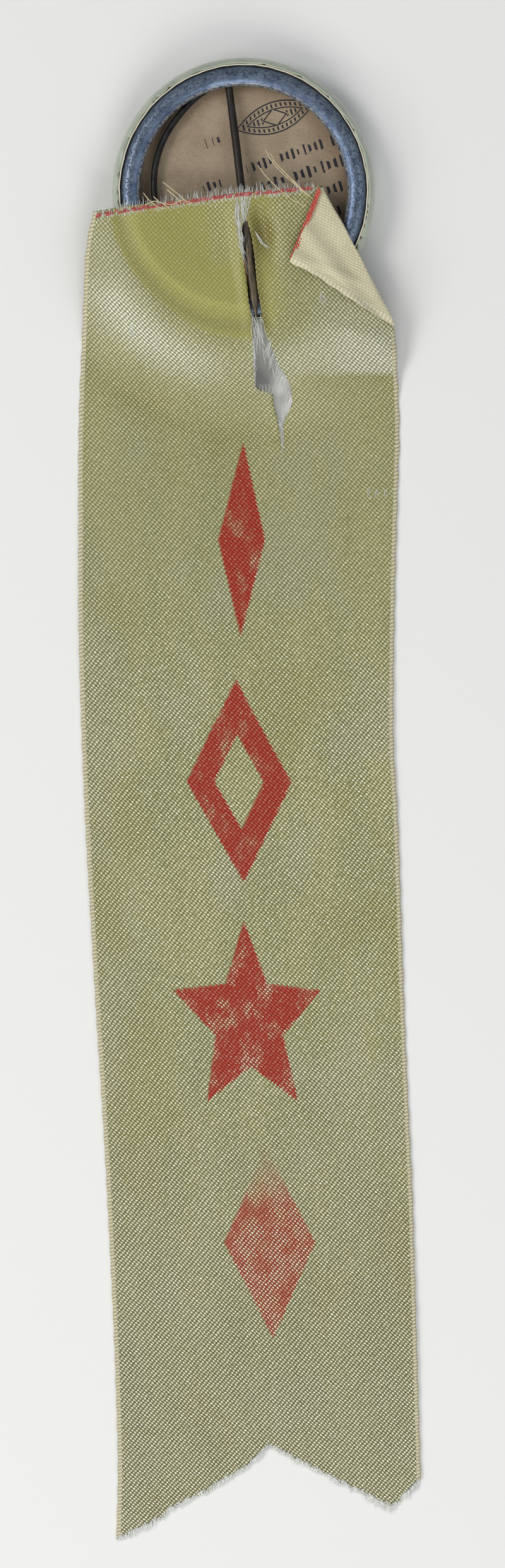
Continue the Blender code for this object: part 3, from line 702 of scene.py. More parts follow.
flap = make(
    "ribbon_corner_silk",
    grid.reshape(-1, 3),
    quads,
    None,
    [SILK_BACK],
    {"cloth": np.column_stack([fu, fv - 78.0, np.zeros(len(fu))])},
)
bm = bmesh.new()
bm.from_mesh(flap.data)
bmesh.ops.remove_doubles(bm, verts=bm.verts, dist=2e-6)
bmesh.ops.dissolve_degenerate(bm, edges=bm.edges, dist=1e-7)
bm.to_mesh(flap.data)
bm.free()
thicken(flap, CLOTH_T, SILK)
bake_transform(flap)
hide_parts("ribbon_corner")


# ------------------------------------------------------------------ red weft line: slanted stitches along the top edge and down the folded corner
def stitches(name, line, lift, material, body, width=0.50, pitch=0.23, fade=None):
    line = np.asarray(line, float)
    seg = np.linalg.norm(np.diff(line, axis=0), axis=1)
    at = np.concatenate([[0], np.cumsum(seg)])
    strands = []
    d = 0.1
    while d < at[-1] - 0.1:
        x, y = np.interp(d, at, line[:, 0]), np.interp(d, at, line[:, 1])
        x2, y2 = np.interp(min(d + 0.2, at[-1]), at, line[:, 0]), np.interp(min(d + 0.2, at[-1]), at, line[:, 1])
        t = np.array([x2 - x, y2 - y]) / max(math.hypot(x2 - x, y2 - y), 1e-6)
        n = np.array([-t[1], t[0]])
        for row in (-0.5, 0.5):
            c = np.array([x, y]) + t * (0.12 * row + rng.normal(0, 0.02)) + n * row * width * 0.5
            half = pitch * rng.uniform(0.34, 0.50)
            along = t * half + n * half * rng.uniform(0.55, 0.95)
            ends = np.array([c - along, c - along * 0.4, c + along * 0.4, c + along])
            z = cloth_height(ends[:, 0], ends[:, 1]) + lift + np.array([-0.03, 0.03, 0.03, -0.03])
            r = width * rng.uniform(0.17, 0.27)
            if fade is not None and rng.random() > fade(d / at[-1]):
                continue
            path = np.column_stack([ends, z])
            strands.append((path, r, r * 0.8))
        d += pitch * rng.uniform(0.9, 1.1)
    return threads(name, strands, [material], body, sides=6)


TOP_RED = [(-18.9, 75.98), (-17.0, 76.36), (-12.27, 77.08), (-9.33, 77.5), (-3.83, 78.22), (-0.22, 78.58), (5.64, 79.1), (7.3, 79.22)]
red_head = stitches("red_weft_line", TOP_RED, 0.10, RED, "head", width=0.46, pitch=0.25, fade=lambda t: 0.62 + 0.16 * min(1, t * 4) + 0.12 * math.sin(t * 31.0))
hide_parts("red_line_head")
fl = np.array([(7.75, 79.0), (6.95, 76.9), (6.05, 74.75), (5.2, 72.7), (4.4, 70.75)])
red_corner = stitches("red_weft_line_corner", fl, 0.34 + 0.12 + 0.30, RED_CORNER, "corner", width=0.52, pitch=0.36)
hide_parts("red_line_corner")

# ------------------------------------------------------------------ frayed ends
strands = []
frng = np.random.default_rng(77)
for x in np.arange(-19.0, 7.6, 0.062):
    x = x + frng.normal(0, 0.04)
    base = np.interp(x, [p_[0] for p_ in TOP_RED], [p_[1] for p_ in TOP_RED])
    thin = 0.5 + 0.5 * math.sin(x * 1.7 + 0.8) * math.sin(x * 0.61)
    if frng.random() < 0.08 + 0.30 * thin:
        continue
    length = (0.78 + 0.22 * math.sin(x * 2.3) + frng.uniform(-0.38, 0.42)) * (0.7 if x > 5.5 else 1.0)
    lean = frng.normal(0.0, 0.16) + 0.16 * math.sin(x * 3.1)
    low = base - frng.uniform(0.10, 0.75)
    ys = np.linspace(low, base + length, 6)
    xs = x + lean * (ys - low) + 0.04 * np.sin(ys * 4 + x) + frng.normal(0, 0.05) * ((ys - low) / (ys[-1] - low)) ** 2
    zs = np.minimum(cloth_height(xs, np.minimum(ys, base)), HEAD_Z + 0.2) + 0.09 + np.linspace(0.0, frng.normal(0.05, 0.12), 6)
    strands.append((np.column_stack([xs, ys, zs]), frng.uniform(0.016, 0.030), 0.012))
fringe = threads("top_fringe", strands, [WHITE], "head", sides=4)

strands = []
cut_x = np.interp(np.linspace(0, 1, 1000), s, X[-1])
cut_y = np.interp(np.linspace(0, 1, 1000), s, cut)
trng = np.random.default_rng(78)
for x in np.arange(-17.9, 21.6, 0.050):
    x = x + trng.normal(0, 0.02)
    y = np.interp(x, cut_x, cut_y)
    heavy = 1.15 if x > 14.5 else (0.95 if x < -13 else 0.70)
    heavy *= 0.75 + 0.35 * math.sin(x * 1.9) * math.sin(x * 0.7 + 1)
    length = trng.uniform(0.40, 1.25) * heavy * (0.6 if abs(x - 2.0) < 1.0 else 1.0)
    if trng.random() < 0.10:
        continue
    lean = trng.normal(0.03, 0.16)
    ys = np.linspace(y + trng.uniform(0.15, 0.55), y - length, 5)
    xs = x + lean * (ys[0] - ys)
    top = cloth_height(np.array([x]), np.array([y + 0.3]))[0]
    zs = np.array([top + 0.09, top + 0.09, top + 0.05, max(top - 0.02, 0.08), trng.uniform(0.08, 0.34)])
    strands.append((np.column_stack([xs, ys, zs]), trng.uniform(0.034, 0.056), 0.018))
tail_fringe = threads("swallowtail_fringe", strands, [WHITE], "tail", sides=4)

# torn fibres round the slit and the hole
strands = []


def fibre(points, r=0.022, lift=0.08, sway=0.06):
    """A stray fibre laid over the cloth through (x, y) points."""
    points = np.asarray(points, float)
    t = np.linspace(0, 1, len(points))
    tt = np.linspace(0, 1, 9)
    xs, ys = np.interp(tt, t, points[:, 0]), np.interp(tt, t, points[:, 1])
    ph = rng.uniform(0, 6)
    xs = xs + sway * np.sin(tt * 5 + ph)
    zs = cloth_height(xs, ys) + lift + 0.12 * np.sin(tt * np.pi) * rng.random()
    if points.shape[1] > 2:
        zs = np.interp(tt, t, points[:, 2])
    strands.append((np.column_stack([xs, ys, zs]), r, r * 0.5))


for _ in range(34):  # left lip, running down
    y0 = rng.uniform(73.0, 78.3)
    x0 = arm_line(y0) - rng.uniform(0.2, 1.1) + 0.25 * (y0 - 74) * 0.2
    length = rng.uniform(2.0, 4.6)
    y1 = y0 - length
    fibre([(x0, y0), (x0 + rng.normal(-0.08, 0.12), (y0 + y1) / 2), (arm_line(y1) - rng.uniform(0.35, 1.0), y1)], rng.uniform(0.018, 0.034))
for _ in range(20):  # fanning from the top edge over the wire
    x0 = arm_line(78.6) + rng.normal(0.3, 0.75)
    fibre([(x0, rng.uniform(78.6, 79.6)), (x0 * 0.5 + arm_line(77) * 0.5 + rng.normal(0, 0.1), 77.4), (arm_line(75.5) + rng.normal(-0.1, 0.3), rng.uniform(74.6, 76.6))], rng.uniform(0.016, 0.03), lift=0.10)
for sx, sy in ((-14.9, 62.9), (-14.6, 62.2), (7.9, 66.6), (8.4, 66.2), (14.0, 43.1), (15.2, 42.9), (16.1, 42.9)):  # snags
    for _ in range(4):
        fibre([(sx + rng.normal(0, 0.16), sy + 0.5), (sx + rng.normal(0, 0.18), sy - 0.1), (sx + rng.normal(0, 0.22), sy - rng.uniform(0.4, 1.0))], 0.02, lift=0.05)
for _ in range(22):  # across the end of the pin
    x0, y0 = rng.uniform(-0.5, 1.0), rng.uniform(62.6, 64.6)
    x1, y1 = x0 + rng.normal(0.5, 0.5), y0 - rng.uniform(1.6, 4.2)
    z0 = 6.0 if 0 < x0 < 0.6 else 5.8
    fibre([(x0, y0, z0 + rng.uniform(-0.1, 0.3)), ((x0 + x1) / 2, (y0 + y1) / 2, z0 - 0.1), (x1, y1, cloth_height(np.array(x1), np.array(y1)) + rng.uniform(-0.5, 0.3))], rng.uniform(0.018, 0.034), sway=0.12)
for _ in range(48):  # right edge of the hole
    t = rng.random()
    x0, y0 = 1.6 + 3.0 * t, 61.6 - 8.0 * t
    x0, y0 = x0 + rng.normal(0.15, 0.1), y0 + rng.uniform(0, 1.0)
    fibre([(x0, y0), (x0 - rng.uniform(0.1, 0.7), y0 - rng.uniform(0.7, 1.4)), (x0 - rng.uniform(0.1, 0.9), y0 - rng.uniform(1.6, 2.8))], rng.uniform(0.016, 0.03), lift=0.05)
for _ in range(16):  # left edge and the foot of the hole
    y0 = rng.uniform(56.5, 62.5)
    fibre([(rng.normal(-0.1, 0.08), y0), (rng.normal(0.05, 0.1), y0 - 1.2), (rng.normal(0.05, 0.15), y0 - rng.uniform(1.8, 3.0))], rng.uniform(0.015, 0.026))
for _ in range(10):
    x0 = rng.uniform(0.4, 2.4)
    fibre([(x0, 55.0), (x0 + rng.normal(0, 0.1), 55.6), (x0 + rng.normal(0, 0.2), 56.1)], 0.02)
for _ in range(9):
    fibre([(rng.normal(3.2, 0.25), rng.uniform(51, 53)), (rng.normal(3.35, 0.12), 50.0), (rng.normal(3.45, 0.1), rng.uniform(47.2, 48.8))], 0.02)
for k_ in range(7):  # tuft to the right of the wire
    fibre([(0.05 + 0.03 * k_, 74.2 - 0.05 * k_), (0.75, 73.4 - 0.1 * k_), (1.6 + rng.normal(0, 0.12), 72.3 + rng.normal(0, 0.15))], 0.03, lift=0.12, sway=0.02)
torn = threads("torn_fibres", strands, [WHITE], None, sides=4)
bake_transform(torn)

# loose golden threads over the recess
strands = []
GOLDS = [
    [(-10.9, 79.9, 5.7), (-9.9, 79.1, 6.0), (-8.6, 78.1, 6.1), (-7.9, 77.3, 6.0)],
    [(-10.4, 79.0, 5.7), (-9.4, 78.2, 6.0), (-8.7, 77.4, 5.95)],
    [(-13.2, 78.6, 5.9), (-12.6, 77.8, 6.1), (-11.6, 77.0, 6.0), (-10.4, 76.7, 5.95)],
    [(-12.0, 78.2, 5.9), (-11.2, 77.4, 6.15), (-9.6, 77.2, 6.1), (-8.6, 77.9, 6.0), (-7.4, 77.4, 6.0)],
    [(-13.0, 77.2, 5.9), (-11.9, 77.7, 6.1), (-10.7, 77.3, 6.15), (-9.9, 76.5, 5.95)],
    [(1.3, 83.7, 5.4), (1.9, 82.4, 5.9), (3.3, 80.9, 6.2), (4.9, 79.5, 6.2), (6.3, 78.4, 6.05), (7.0, 77.9, 6.0)],
    [(1.8, 83.4, 5.3), (2.6, 82.0, 5.8), (4.0, 80.6, 6.2), (5.4, 79.3, 6.2), (6.4, 78.2, 6.0)],
    [(0.4, 81.9, 5.3), (1.3, 80.6, 5.9), (2.6, 79.3, 6.1), (4.3, 77.9, 6.0), (6.2, 77.0, 6.0)],
    [(1.6, 83.0, 5.5), (3.0, 81.6, 6.0), (4.6, 80.0, 6.2), (5.7, 78.7, 6.1)],
]
for g in GOLDS:
    g = np.array(g)
    t, tt = np.linspace(0, 1, len(g)), np.linspace(0, 1, 26)
    path = np.column_stack([np.interp(tt, t, g[:, c]) for c in range(3)])
    for _ in range(3):
        path[1:-1] = (path[:-2] + path[1:-1] + path[2:]) / 3
    twist = np.column_stack([0.03 * np.sin(tt * 42), 0.03 * np.cos(tt * 42), 0 * tt])
    strands.append((path + twist, 0.036, 0.028))
    strands.append((path - twist, 0.036, 0.028))
gold = threads("loose_gold_threads", strands, [GOLD], "head", sides=5)


# ------------------------------------------------------------------ button
def offset_strip(line, a, b):
    line = np.asarray(line, float)
    d = np.gradient(line, axis=0)
    d /= np.linalg.norm(d, axis=1)[:, None]
    n = np.column_stack([-d[:, 1], d[:, 0]])
    lo, hi = line + n * a, line + n * b
    lo[0, 0], hi[0, 0] = max(line[0, 0], 0.02), max(line[0, 0], 0.02)
    return lo, hi


roll_c = BUTTON_R - ROLL_R
dome_end = roll_c * DOME_R / (DOME_R - ROLL_R)
lean = math.asin(dome_end / DOME_R)
a = np.linspace(0.002, lean, 26)
dome = np.column_stack([DOME_R * np.sin(a), DOME_R * (1 - np.cos(a))])
roll_z = dome[-1, 1] + ROLL_R * math.cos(lean)
a = np.linspace(-math.pi / 2 + lean, 0.75, 22)[1:]
roll = np.column_stack([roll_c + ROLL_R * np.cos(a), roll_z + ROLL_R * np.sin(a)])
face_line = np.concatenate([dome, roll])

k = Mat("celluloid_film")
co = k.obj_mm()
tw = k.attr("turn").outputs["Vector"]
age = k.noise(co, 0.35, 4.0, 0.6)
grime = k.ramp(k.noise(co, 1.5, 4.0, 0.7), 0.48, 0.72)
col = k.mix(k.ramp(age, 0.3, 0.7), (0.295, 0.335, 0.27), (0.385, 0.42, 0.335))
col = k.mix(k.m("MULTIPLY", grime, 0.25), col, (0.26, 0.28, 0.235))
k.set(Coat_Weight=0.5, Coat_Roughness=0.12, Specular_IOR_Level=0.5, Subsurface_Weight=0.0)
FILM = k.out(col, k.m("ADD", 0.2, k.m("MULTIPLY", grime, 0.2)), k.bump(k.noise(co, 2.0, 3.0), 0.25, 0.00006))

k = Mat("printed_face_paper")
co = k.obj_mm()
u, v, _ = k.sep(k.vm("SUBTRACT", co, (BX, BY, 0.0)))
rad = k.m("SQRT", k.m("ADD", k.m("MULTIPLY", u, u), k.m("MULTIPLY", v, v)))
ringed = k.m("MULTIPLY", k.m("GREATER_THAN", rad, 11.2), k.m("LESS_THAN", rad, 11.8))
col = k.mix(k.ramp(k.noise(co, 1.2, 4.0), 0.3, 0.7), (0.66, 0.62, 0.50), (0.74, 0.70, 0.57))
col = k.mix(ringed, col, (0.05, 0.08, 0.22))
FACE_PAPER = k.out(col, 0.6, k.bump(k.noise(co, 6.0, 2.0), 0.2, 0.00003))


def film_wobble(th):
    n = len(film_profile)
    out_r, out_z = np.zeros((n, len(th))), np.zeros((n, len(th)))
    m_line = n // 2
    pucker = 0.022 * np.sin(36 * th + np.sin(5 * th)) + 0.03 * np.sin(23 * th + 1.0)
    for k_ in range(n):
        along = k_ if k_ < m_line else n - 1 - k_
        w = smooth((along - (m_line - 7)) / 6.0)
        out_r[k_] = w * (pucker - 0.03)
        out_z[k_] = w * 0.05 * np.sin(31 * th + 2)
    for nick in np.random.default_rng(4).uniform(0, 2 * np.pi, 30):
        near = np.exp(-((np.angle(np.exp(1j * (th - nick))) / 0.010) ** 2))
        for k_ in range(n):
            along = k_ if k_ < m_line else n - 1 - k_
            if along >= m_line - 3:
                out_r[k_] += near * 0.13 * (along - (m_line - 4)) / 3
                out_z[k_] -= near * 0.10
    return out_r, out_z


lo, hi = offset_strip(face_line, 0.0, 0.26)
film_profile = np.concatenate([lo, hi[::-1]])
film = lathe("celluloid_film", film_profile, 420, "button", [FILM], film_wobble)
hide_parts("celluloid_cover")

# the paper's cut edge shows as a second fine ring inside the film
edge_line = [(14.86, 4.35), (14.92, 4.6), (14.88, 4.82), (14.78, 4.98)]
lo, hi = offset_strip(edge_line, -0.045, 0.045)
lo[0, 0], hi[0, 0] = 14.90, 14.82
paper_edge = lathe(
    "paper_edge", np.concatenate([lo, hi[::-1]]), 360, "button", [FACE_PAPER],
    lambda th: (np.ones((8, 1)) * (0.02 * np.sin(19 * th) + 0.015 * np.sin(47 * th + 1)), np.ones((8, 1)) * (0.03 * np.sin(27 * th))),
)

k = Mat("collet_tinplate")
co = k.obj_mm()
u, v, z = k.sep(k.vm("SUBTRACT", co, (BX, BY, 0.0)))
rad = k.m("SQRT", k.m("ADD", k.m("MULTIPLY", u, u), k.m("MULTIPLY", v, v)))
ang = k.m("MULTIPLY", k.m("ARCTAN2", v, u), 14.0)
drag = k.comb(k.m("MULTIPLY", k.m("ARCTAN2", v, u), 9.0), k.m("MULTIPLY", rad, 3.2), 0.0)
streak = k.noise(drag, 2.4, 4.0, 0.65)
cloud = k.noise(co, 0.55, 4.0, 0.6)
pits = k.ramp(k.noise(co, 3.8, 4.0, 0.8), 0.545, 0.62)
outer = k.m("MULTIPLY", k.ramp(rad, 13.0, 13.7), k.ramp(rad, 14.9, 14.1))
pits = k.m("MULTIPLY", pits, k.m("ADD", 0.22, k.m("MULTIPLY", outer, 0.78)))
# the blue cast in these tin colours is a painted reflection of blue surroundings
col = k.mix(k.ramp(cloud, 0.3, 0.7), (0.060, 0.092, 0.165), (0.145, 0.195, 0.29))
col = k.mix(k.m("MULTIPLY", k.ramp(streak, 0.45, 0.75), 0.42), col, (0.42, 0.47, 0.54))
col = k.mix(k.m("MULTIPLY", outer, k.m("MULTIPLY", k.ramp(streak, 0.35, 0.6), 0.40)), col, (0.31, 0.37, 0.39))
blotch = k.ramp(k.noise(k.vm("ADD", co, (4.0, 4.0, 1.0)), 1.6, 5.0, 0.75), 0.50, 0.62)
col = k.mix(k.m("MULTIPLY", outer, k.m("MULTIPLY", blotch, 0.8)), col, (0.055, 0.075, 0.125))
col = k.mix(pits, col, (0.04, 0.05, 0.075))
# painted highlight: pale speckled glints along the collet's inner lip
painted_lip_highlight = k.m("MULTIPLY", k.ramp(rad, 12.78, 12.6), k.ramp(k.noise(co, 2.6, 3.0, 0.7), 0.40, 0.55))
col = k.mix(k.m("MULTIPLY", painted_lip_highlight, 0.7), col, (0.66, 0.69, 0.73))
k.set(Metallic=0.85)
rough = k.m("ADD", k.m("ADD", 0.30, k.m("MULTIPLY", streak, 0.18)), k.m("MULTIPLY", pits, 0.35), clamp=True)
height = k.m("SUBTRACT", k.m("MULTIPLY", streak, 0.4), pits)
TIN = k.out(col, rough, k.bump(height, 0.6, 0.00005))

top, lip = 5.25, 12.5
line = np.array([(lip + 1.35, top - 2.20), (lip + 1.80, top - 1.85), (lip + 2.06, top - 1.25), (lip + 2.06, top - 0.70), (lip + 1.85, top - 0.28), (lip + 1.40, top - 0.02),
                 (lip + 0.90, top), (lip + 0.45, top - 0.12), (lip + 0.14, top - 0.38), (lip, top - 0.70)])
t, tt = np.arange(len(line)), np.linspace(0, len(line) - 1, 46)
fine_line = np.column_stack([np.interp(tt, t, line[:, c]) for c in range(2)])
for _ in range(4):
    fine_line[1:-1] = (fine_line[:-2] + fine_line[1:-1] * 2 + fine_line[2:]) / 4
lo, hi = offset_strip(fine_line, -0.14, 0.14)
lo[0], hi[0] = fine_line[0] + (0.1, -0.08), fine_line[0] - (0.1, -0.08)


def collet_wobble(th):
    n = 92
    return np.ones((n, 1)) * (0.025 * np.sin(3 * th + 1) + 0.012 * np.sin(17 * th)), np.ones((n, 1)) * (0.02 * np.sin(2 * th) + 0.008 * np.sin(29 * th))


collet = lathe("collet_ring", np.concatenate([lo, hi[::-1]]), 360, "button", [TIN], collet_wobble)
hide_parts("collet")

# back paper: kraft, with generic printing
k = Mat("kraft_back_paper")
co = k.obj_mm()
u, v, _ = k.sep(k.vm("SUBTRACT", co, (BX, BY, 0.0)))
mottle = k.noise(co, 0.30, 5.0, 0.6)
grain = k.noise(co, 5.0, 4.0, 0.7)
fleck = k.ramp(k.noise(co, 2.2, 2.0, 0.5), 0.70, 0.76)
col = k.mix(k.ramp(mottle, 0.3, 0.7), (0.235, 0.176, 0.116), (0.328, 0.257, 0.175))
col = k.mix(k.m("MULTIPLY", k.ramp(grain, 0.35, 0.7), 0.35), col, (0.50, 0.40, 0.28))
col = k.mix(k.m("MULTIPLY", fleck, 0.55), col, (0.16, 0.10, 0.055))
rad = k.m("SQRT", k.m("ADD", k.m("MULTIPLY", u, u), k.m("MULTIPLY", v, v)))
ang = k.m("ARCTAN2", v, u)
# painted shade: the paper darkens towards the collet, in the recess under its lip and the hoop
painted_recess_shade = k.ramp(rad, 10.2, 12.6)
col = k.mix(k.m("MULTIPLY", painted_recess_shade, 0.45), col, (0.17, 0.10, 0.05))


def near(value, at, half):
    return k.m("LESS_THAN", k.m("ABSOLUTE", k.m("SUBTRACT", value, at)), half)


# printing: straight rows of plain strokes that lean up to the right, and a pointed oval in line with them
lean_c, lean_s = math.cos(math.radians(18.0)), math.sin(math.radians(18.0))
ep = k.m("ADD", k.m("MULTIPLY", u, lean_c), k.m("MULTIPLY", v, lean_s))
eq = k.m("SUBTRACT", k.m("MULTIPLY", v, lean_c), k.m("MULTIPLY", u, lean_s))
prints = None
for q_at, half, lo_p, hi_p, pitch in ((2.65, 0.66, 1.1, 12.6, 0.71), (0.05, 0.74, 0.9, 12.5, 0.83), (-2.75, 0.70, 1.0, 12.6, 0.76), (-5.4, 0.62, 1.0, 12.4, 0.69),
                                      (2.05, 0.64, -4.4, -2.2, 0.74), (6.95, 0.66, -2.5, -0.75, 0.87)):
    wave = k.m("COSINE", k.m("MULTIPLY", ep, TAU / pitch))
    word = k.m("COSINE", k.m("MULTIPLY", ep, TAU / (pitch * 4.6)))
    stroke = k.m("MULTIPLY", k.m("GREATER_THAN", wave, 0.12), k.m("GREATER_THAN", word, -0.84))
    tall = k.m("MULTIPLY", half, k.m("ADD", 0.74, k.m("MULTIPLY", k.m("COSINE", k.m("MULTIPLY", ep, TAU / (pitch * 2.44))), 0.26)))
    part = k.m("MULTIPLY", near(eq, q_at, tall), stroke)
    part = k.m("MULTIPLY", part, near(ep, (lo_p + hi_p) / 2, (hi_p - lo_p) / 2))
    prints = part if prints is None else k.m("MAXIMUM", prints, part)
op, oq = k.m("SUBTRACT", ep, 6.33), k.m("ABSOLUTE", k.m("SUBTRACT", eq, 7.35))
ox = k.m("DIVIDE", op, 4.9)
oval = k.m("ADD", k.m("DIVIDE", oq, 1.85), k.m("MULTIPLY", ox, ox))
middle = k.m("ADD", k.m("DIVIDE", k.m("ABSOLUTE", op), 1.5), k.m("DIVIDE", oq, 1.05))
prints = k.m("MAXIMUM", prints, near(oval, 0.955, 0.045))
prints = k.m("MAXIMUM", prints, k.m("MULTIPLY", near(oval, 0.50, 0.040), k.m("GREATER_THAN", middle, 1.0)))
prints = k.m("MAXIMUM", prints, near(middle, 0.96, 0.09))
band = k.m("MULTIPLY", near(oval, 0.725, 0.115), k.m("GREATER_THAN", k.m("COSINE", k.m("MULTIPLY", op, TAU / 0.56)), 0.30))
core = k.m("MULTIPLY", k.m("LESS_THAN", oq, 0.36), k.m("GREATER_THAN", k.m("COSINE", k.m("MULTIPLY", op, TAU / 0.52)), 0.25))
core = k.m("MULTIPLY", core, k.m("MULTIPLY", k.m("LESS_THAN", oval, 0.42), k.m("GREATER_THAN", middle, 1.15)))
prints = k.m("MAXIMUM", prints, k.m("MAXIMUM", band, core))
blot = k.ramp(k.noise(co, 4.0, 3.0, 0.6), 0.24, 0.36)
col = k.mix(k.m("MULTIPLY", k.m("MULTIPLY", prints, blot), 0.97), col, (0.006, 0.007, 0.018))
PAPER = k.out(col, k.m("ADD", 0.72, k.m("MULTIPLY", grain, 0.16)), k.bump(k.m("ADD", grain, k.m("MULTIPLY", mottle, 2.0)), 0.35, 0.00006))

rings = np.concatenate([[0.02], np.linspace(0.6, 13.8, 30)])
th = np.arange(180) * TAU / 180
R, T = np.meshgrid(rings, th, indexing="ij")
px, py = BX + R * np.cos(T), BY + R * np.sin(T)
pz = 2.66 + 0.10 * waves(px, py, 21, 0.22) * smooth((13.8 - R) / 4) + 0.05 * smooth(R / 13.8)
low = np.column_stack([px.ravel(), py.ravel(), pz.ravel() - 0.12])
n_r, n_t = R.shape
i, j = np.meshgrid(np.arange(n_r - 1), np.arange(n_t), indexing="ij")
q = np.stack([i * n_t + j, (i + 1) * n_t + j, (i + 1) * n_t + (j + 1) % n_t, i * n_t + (j + 1) % n_t], -1).reshape(-1, 4)
hi_pts = low + (0, 0, 0.14)
faces = q.tolist() + (q[:, ::-1] + n_r * n_t).tolist()
rim_i = (n_r - 1) * n_t + np.arange(n_t)
faces += np.stack([rim_i, rim_i + n_r * n_t, np.roll(rim_i, -1) + n_r * n_t, np.roll(rim_i, -1)], -1).tolist()
faces += [list(range(n_t)), list(range(n_r * n_t, n_r * n_t + n_t))]
disc = make("back_paper_disc", np.concatenate([low, hi_pts]), faces, None, [PAPER])
outward(disc)
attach(disc, "button")
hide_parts("back_paper")

# ------------------------------------------------------------------ wire hoop and pin
def wire_mat(name, dark, light, rust_amt, black_above=None):
    k = Mat(name)
    co = k.obj_mm()
    drawn = k.vm("MULTIPLY", co, (2.6, 0.28, 2.6)) if black_above is not None else co
    n = k.noise(drawn, 1.3, 4.0, 0.65)
    fine = k.noise(drawn, 7.0, 3.0, 0.7)
    rust = k.ramp(k.noise(k.vm("ADD", co, (5.0, 0.0, 2.0)), 0.8, 4.0, 0.7), 0.60 - rust_amt, 0.78 - rust_amt)
    col = k.mix(k.ramp(n, 0.35, 0.7), dark, light)
    col = k.mix(k.m("MULTIPLY", rust, 0.8), col, (0.22, 0.085, 0.028))
    if black_above is not None:
        up = k.ramp(k.sep(co)[1], black_above - 5.0, black_above + 1.0)
        col = k.mix(k.m("MULTIPLY", up, 0.86), col, (0.012, 0.011, 0.012))
    k.set(Metallic=0.6)
    rough = k.m("ADD", 0.40, k.m("ADD", k.m("MULTIPLY", fine, 0.16), k.m("MULTIPLY", rust, 0.3)))
    return k.out(col, rough, k.bump(k.m("ADD", fine, rust), 0.35, 0.00004))


HOOP = wire_mat("hoop_wire_dark", (0.006, 0.006, 0.008), (0.022, 0.021, 0.022), -0.05)
PIN = wire_mat("pin_wire_bronze", (0.042, 0.035, 0.026), (0.175, 0.140, 0.090), -0.03, black_above=77.0)
hc = np.array([BX + 1.05, BY + 1.05])
a = np.radians(np.linspace(76.0, -251.5, 260))
ease = smooth((np.degrees(a) + 251.5) / 35) * smooth((76 - np.degrees(a)) / 35)
path = np.column_stack([hc[0] + 0.28 * ease + (HOOP_R - 0.22 * ease) * np.cos(a), hc[1] - 0.1 * ease + (HOOP_R - 0.22 * ease) * np.sin(a), HOOP_Z + 0.05 * np.sin(a * 3)])
radii = np.full(len(path), WIRE_R * 0.84)
radii[:3] = WIRE_R * np.array([0.55, 0.8, 0.9])
p_, q_, caps = tube_points(path, radii, 16)
hoop = make("hoop_wire", p_, q_ + caps, None, [HOOP])
outward(hoop)
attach(hoop, "hoop")
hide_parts("pin_hoop")

along = (TIP - ROOT) / np.linalg.norm(TIP - ROOT)
arm_l = np.linalg.norm(TIP - ROOT)
sd = np.array([along[1], -along[0]])
sd /= np.linalg.norm(sd)
path, radii = [], []
for d in np.linspace(80, 0, 14):
    a = math.radians(d)
    back, out_ = 0.95 * math.sin(a), 0.95 * (1 - math.cos(a))
    path.append((ROOT[0] - along[0] * back + sd[0] * out_, ROOT[1] - along[1] * back + sd[1] * out_, ROOT[2]))
    radii.append(0.44)
for share in np.linspace(0, 1, 90)[1:]:
    pt = ROOT + along * arm_l * share
    left = arm_l * (1 - share)
    pt = pt + np.array([0.05 * math.sin(share * 5.5), 0, 0])
    path.append(tuple(pt))
    thick = 0.44 + 0.03 * smooth((share - 0.04) / 0.16)
    radii.append(thick * min(1.0, 0.16 + 0.84 * (left / 2.6) ** 0.8) if left < 2.6 else thick)
radii[-1] = 0.05
p_, q_, caps = tube_points(path, radii, 18)
pin = make("pin_wire", p_, q_ + caps, None, [PIN])
outward(pin)
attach(pin, "arm")
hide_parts("pin_arm")

# a rust-stained shred of silk curled against the wire
k = Mat("rust_stained_silk")
co = k.obj_mm()
col = k.mix(k.ramp(k.noise(co, 1.6, 4.0), 0.35, 0.65), (0.36, 0.10, 0.025), (0.50, 0.24, 0.07))
STAIN = k.out(col, 0.7, k.bump(k.noise(co, 5.0, 3.0), 0.4, 0.00005))
pts_, quads_ = [], []
for a_ in range(14):
    t = a_ / 13
    y = 71.0 - 2.6 * t
    wide = 0.62 * math.sin(math.pi * (0.12 + 0.8 * t)) ** 0.8
    for b_ in range(6):
        w = b_ / 5
        x = arm_line(y) - 0.52 - wide * w
        z = 5.15 + 0.4 * w + 0.12 * math.sin(w * 3 + t * 4)
        pts_.append((x, y, z))
for a_ in range(13):
    for b_ in range(5):
        quads_.append([a_ * 6 + b_, a_ * 6 + b_ + 1, (a_ + 1) * 6 + b_ + 1, (a_ + 1) * 6 + b_])
shred = make("rust_stained_shred", pts_, quads_, None, [STAIN])
thicken(shred, 0.08)
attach(shred, "head")

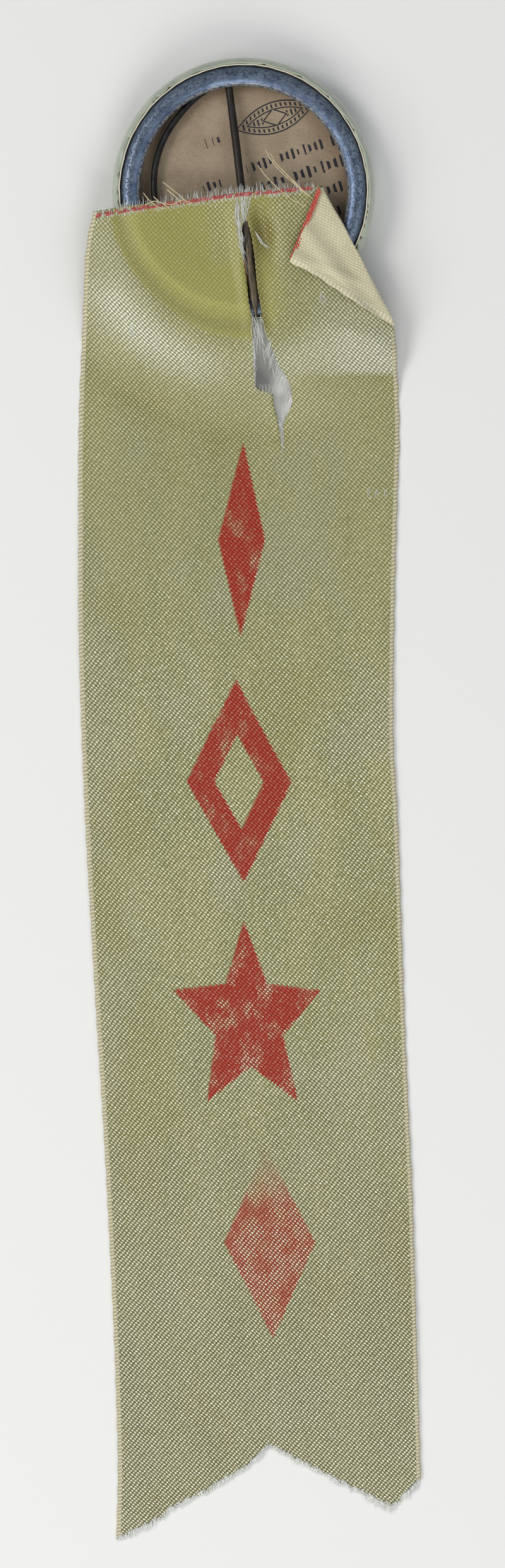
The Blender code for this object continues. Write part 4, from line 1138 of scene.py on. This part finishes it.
# hidden CAD sheets keep their place, with their own finish
k = Mat("plain_tin_shell")
co = k.obj_mm()
k.set(Metallic=0.9)
SHELL = k.out(k.mix(k.ramp(k.noise(co, 0.8, 4.0), 0.3, 0.7), (0.32, 0.34, 0.36), (0.52, 0.54, 0.56)), k.m("ADD", 0.3, k.m("MULTIPLY", k.noise(co, 2.0, 3.0), 0.25)))
for name, m in (("face_shell", SHELL), ("face_paper", FACE_PAPER)):
    node_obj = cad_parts[name]
    node_obj.data.materials.clear()
    node_obj.data.materials.append(m)

# ------------------------------------------------------------------ stage, light, camera
k = Mat("studio_floor")
k.set(Base_Color=(0.80, 0.80, 0.79), Roughness=0.8)
floor = make("studio_floor", [(-6000, -6000, -0.02), (6000, -6000, -0.02), (6000, 6000, -0.02), (-6000, 6000, -0.02)], [[0, 1, 2, 3]], None, [k.mat])

world = scene.world or bpy.data.worlds.new("studio")
scene.world = world
world.use_nodes = True
bg = next(n for n in world.node_tree.nodes if n.type == "BACKGROUND")
bg.inputs["Color"].default_value = (0.93, 0.96, 1.0, 1.0)
bg.inputs["Strength"].default_value = 0.36


def area_light(name, loc, target, size, power, colour=(1, 1, 1)):
    data = bpy.data.lights.new(name, "AREA")
    data.shape, data.size, data.energy, data.color = "DISK", size, power, colour
    obj = bpy.data.objects.new(name, data)
    scene.collection.objects.link(obj)
    from mathutils import Vector

    obj.location = loc
    obj.rotation_euler = (Vector(target) - Vector(loc)).to_track_quat("-Z", "Y").to_euler()
    return obj


area_light("key", (-0.46, 0.16, 0.60), (0, 0.02, 0), 0.30, 1.75, (1.0, 0.98, 0.95))
area_light("fill", (0.45, 0.05, 0.55), (0, 0.0, 0), 0.5, 0.6, (0.92, 0.96, 1.0))
area_light("low", (0.06, -0.62, 0.56), (0, 0.06, 0), 0.52, 2.9, (1.0, 0.98, 0.94))
area_light("left", (-0.50, -0.14, 0.40), (0, 0.06, 0), 0.32, 1.0, (1.0, 0.98, 0.94))

TILT = math.radians(8.855)
DIST = 0.31755
cam_data = bpy.data.cameras.new("camera")
cam = bpy.data.objects.new("camera", cam_data)
scene.collection.objects.link(cam)
cam_data.sensor_width = 36.0
cam_data.lens = 4000.0 / 2483.0 * 36.0
cam_data.clip_start, cam_data.clip_end = 0.01, 10.0
cam.location = (-0.00022, 0.0065 + DIST * math.sin(TILT), DIST * math.cos(TILT))
cam.rotation_euler = (-TILT, 0.0, 0.0)
scene.camera = cam
scene.view_settings.view_transform = "Standard"
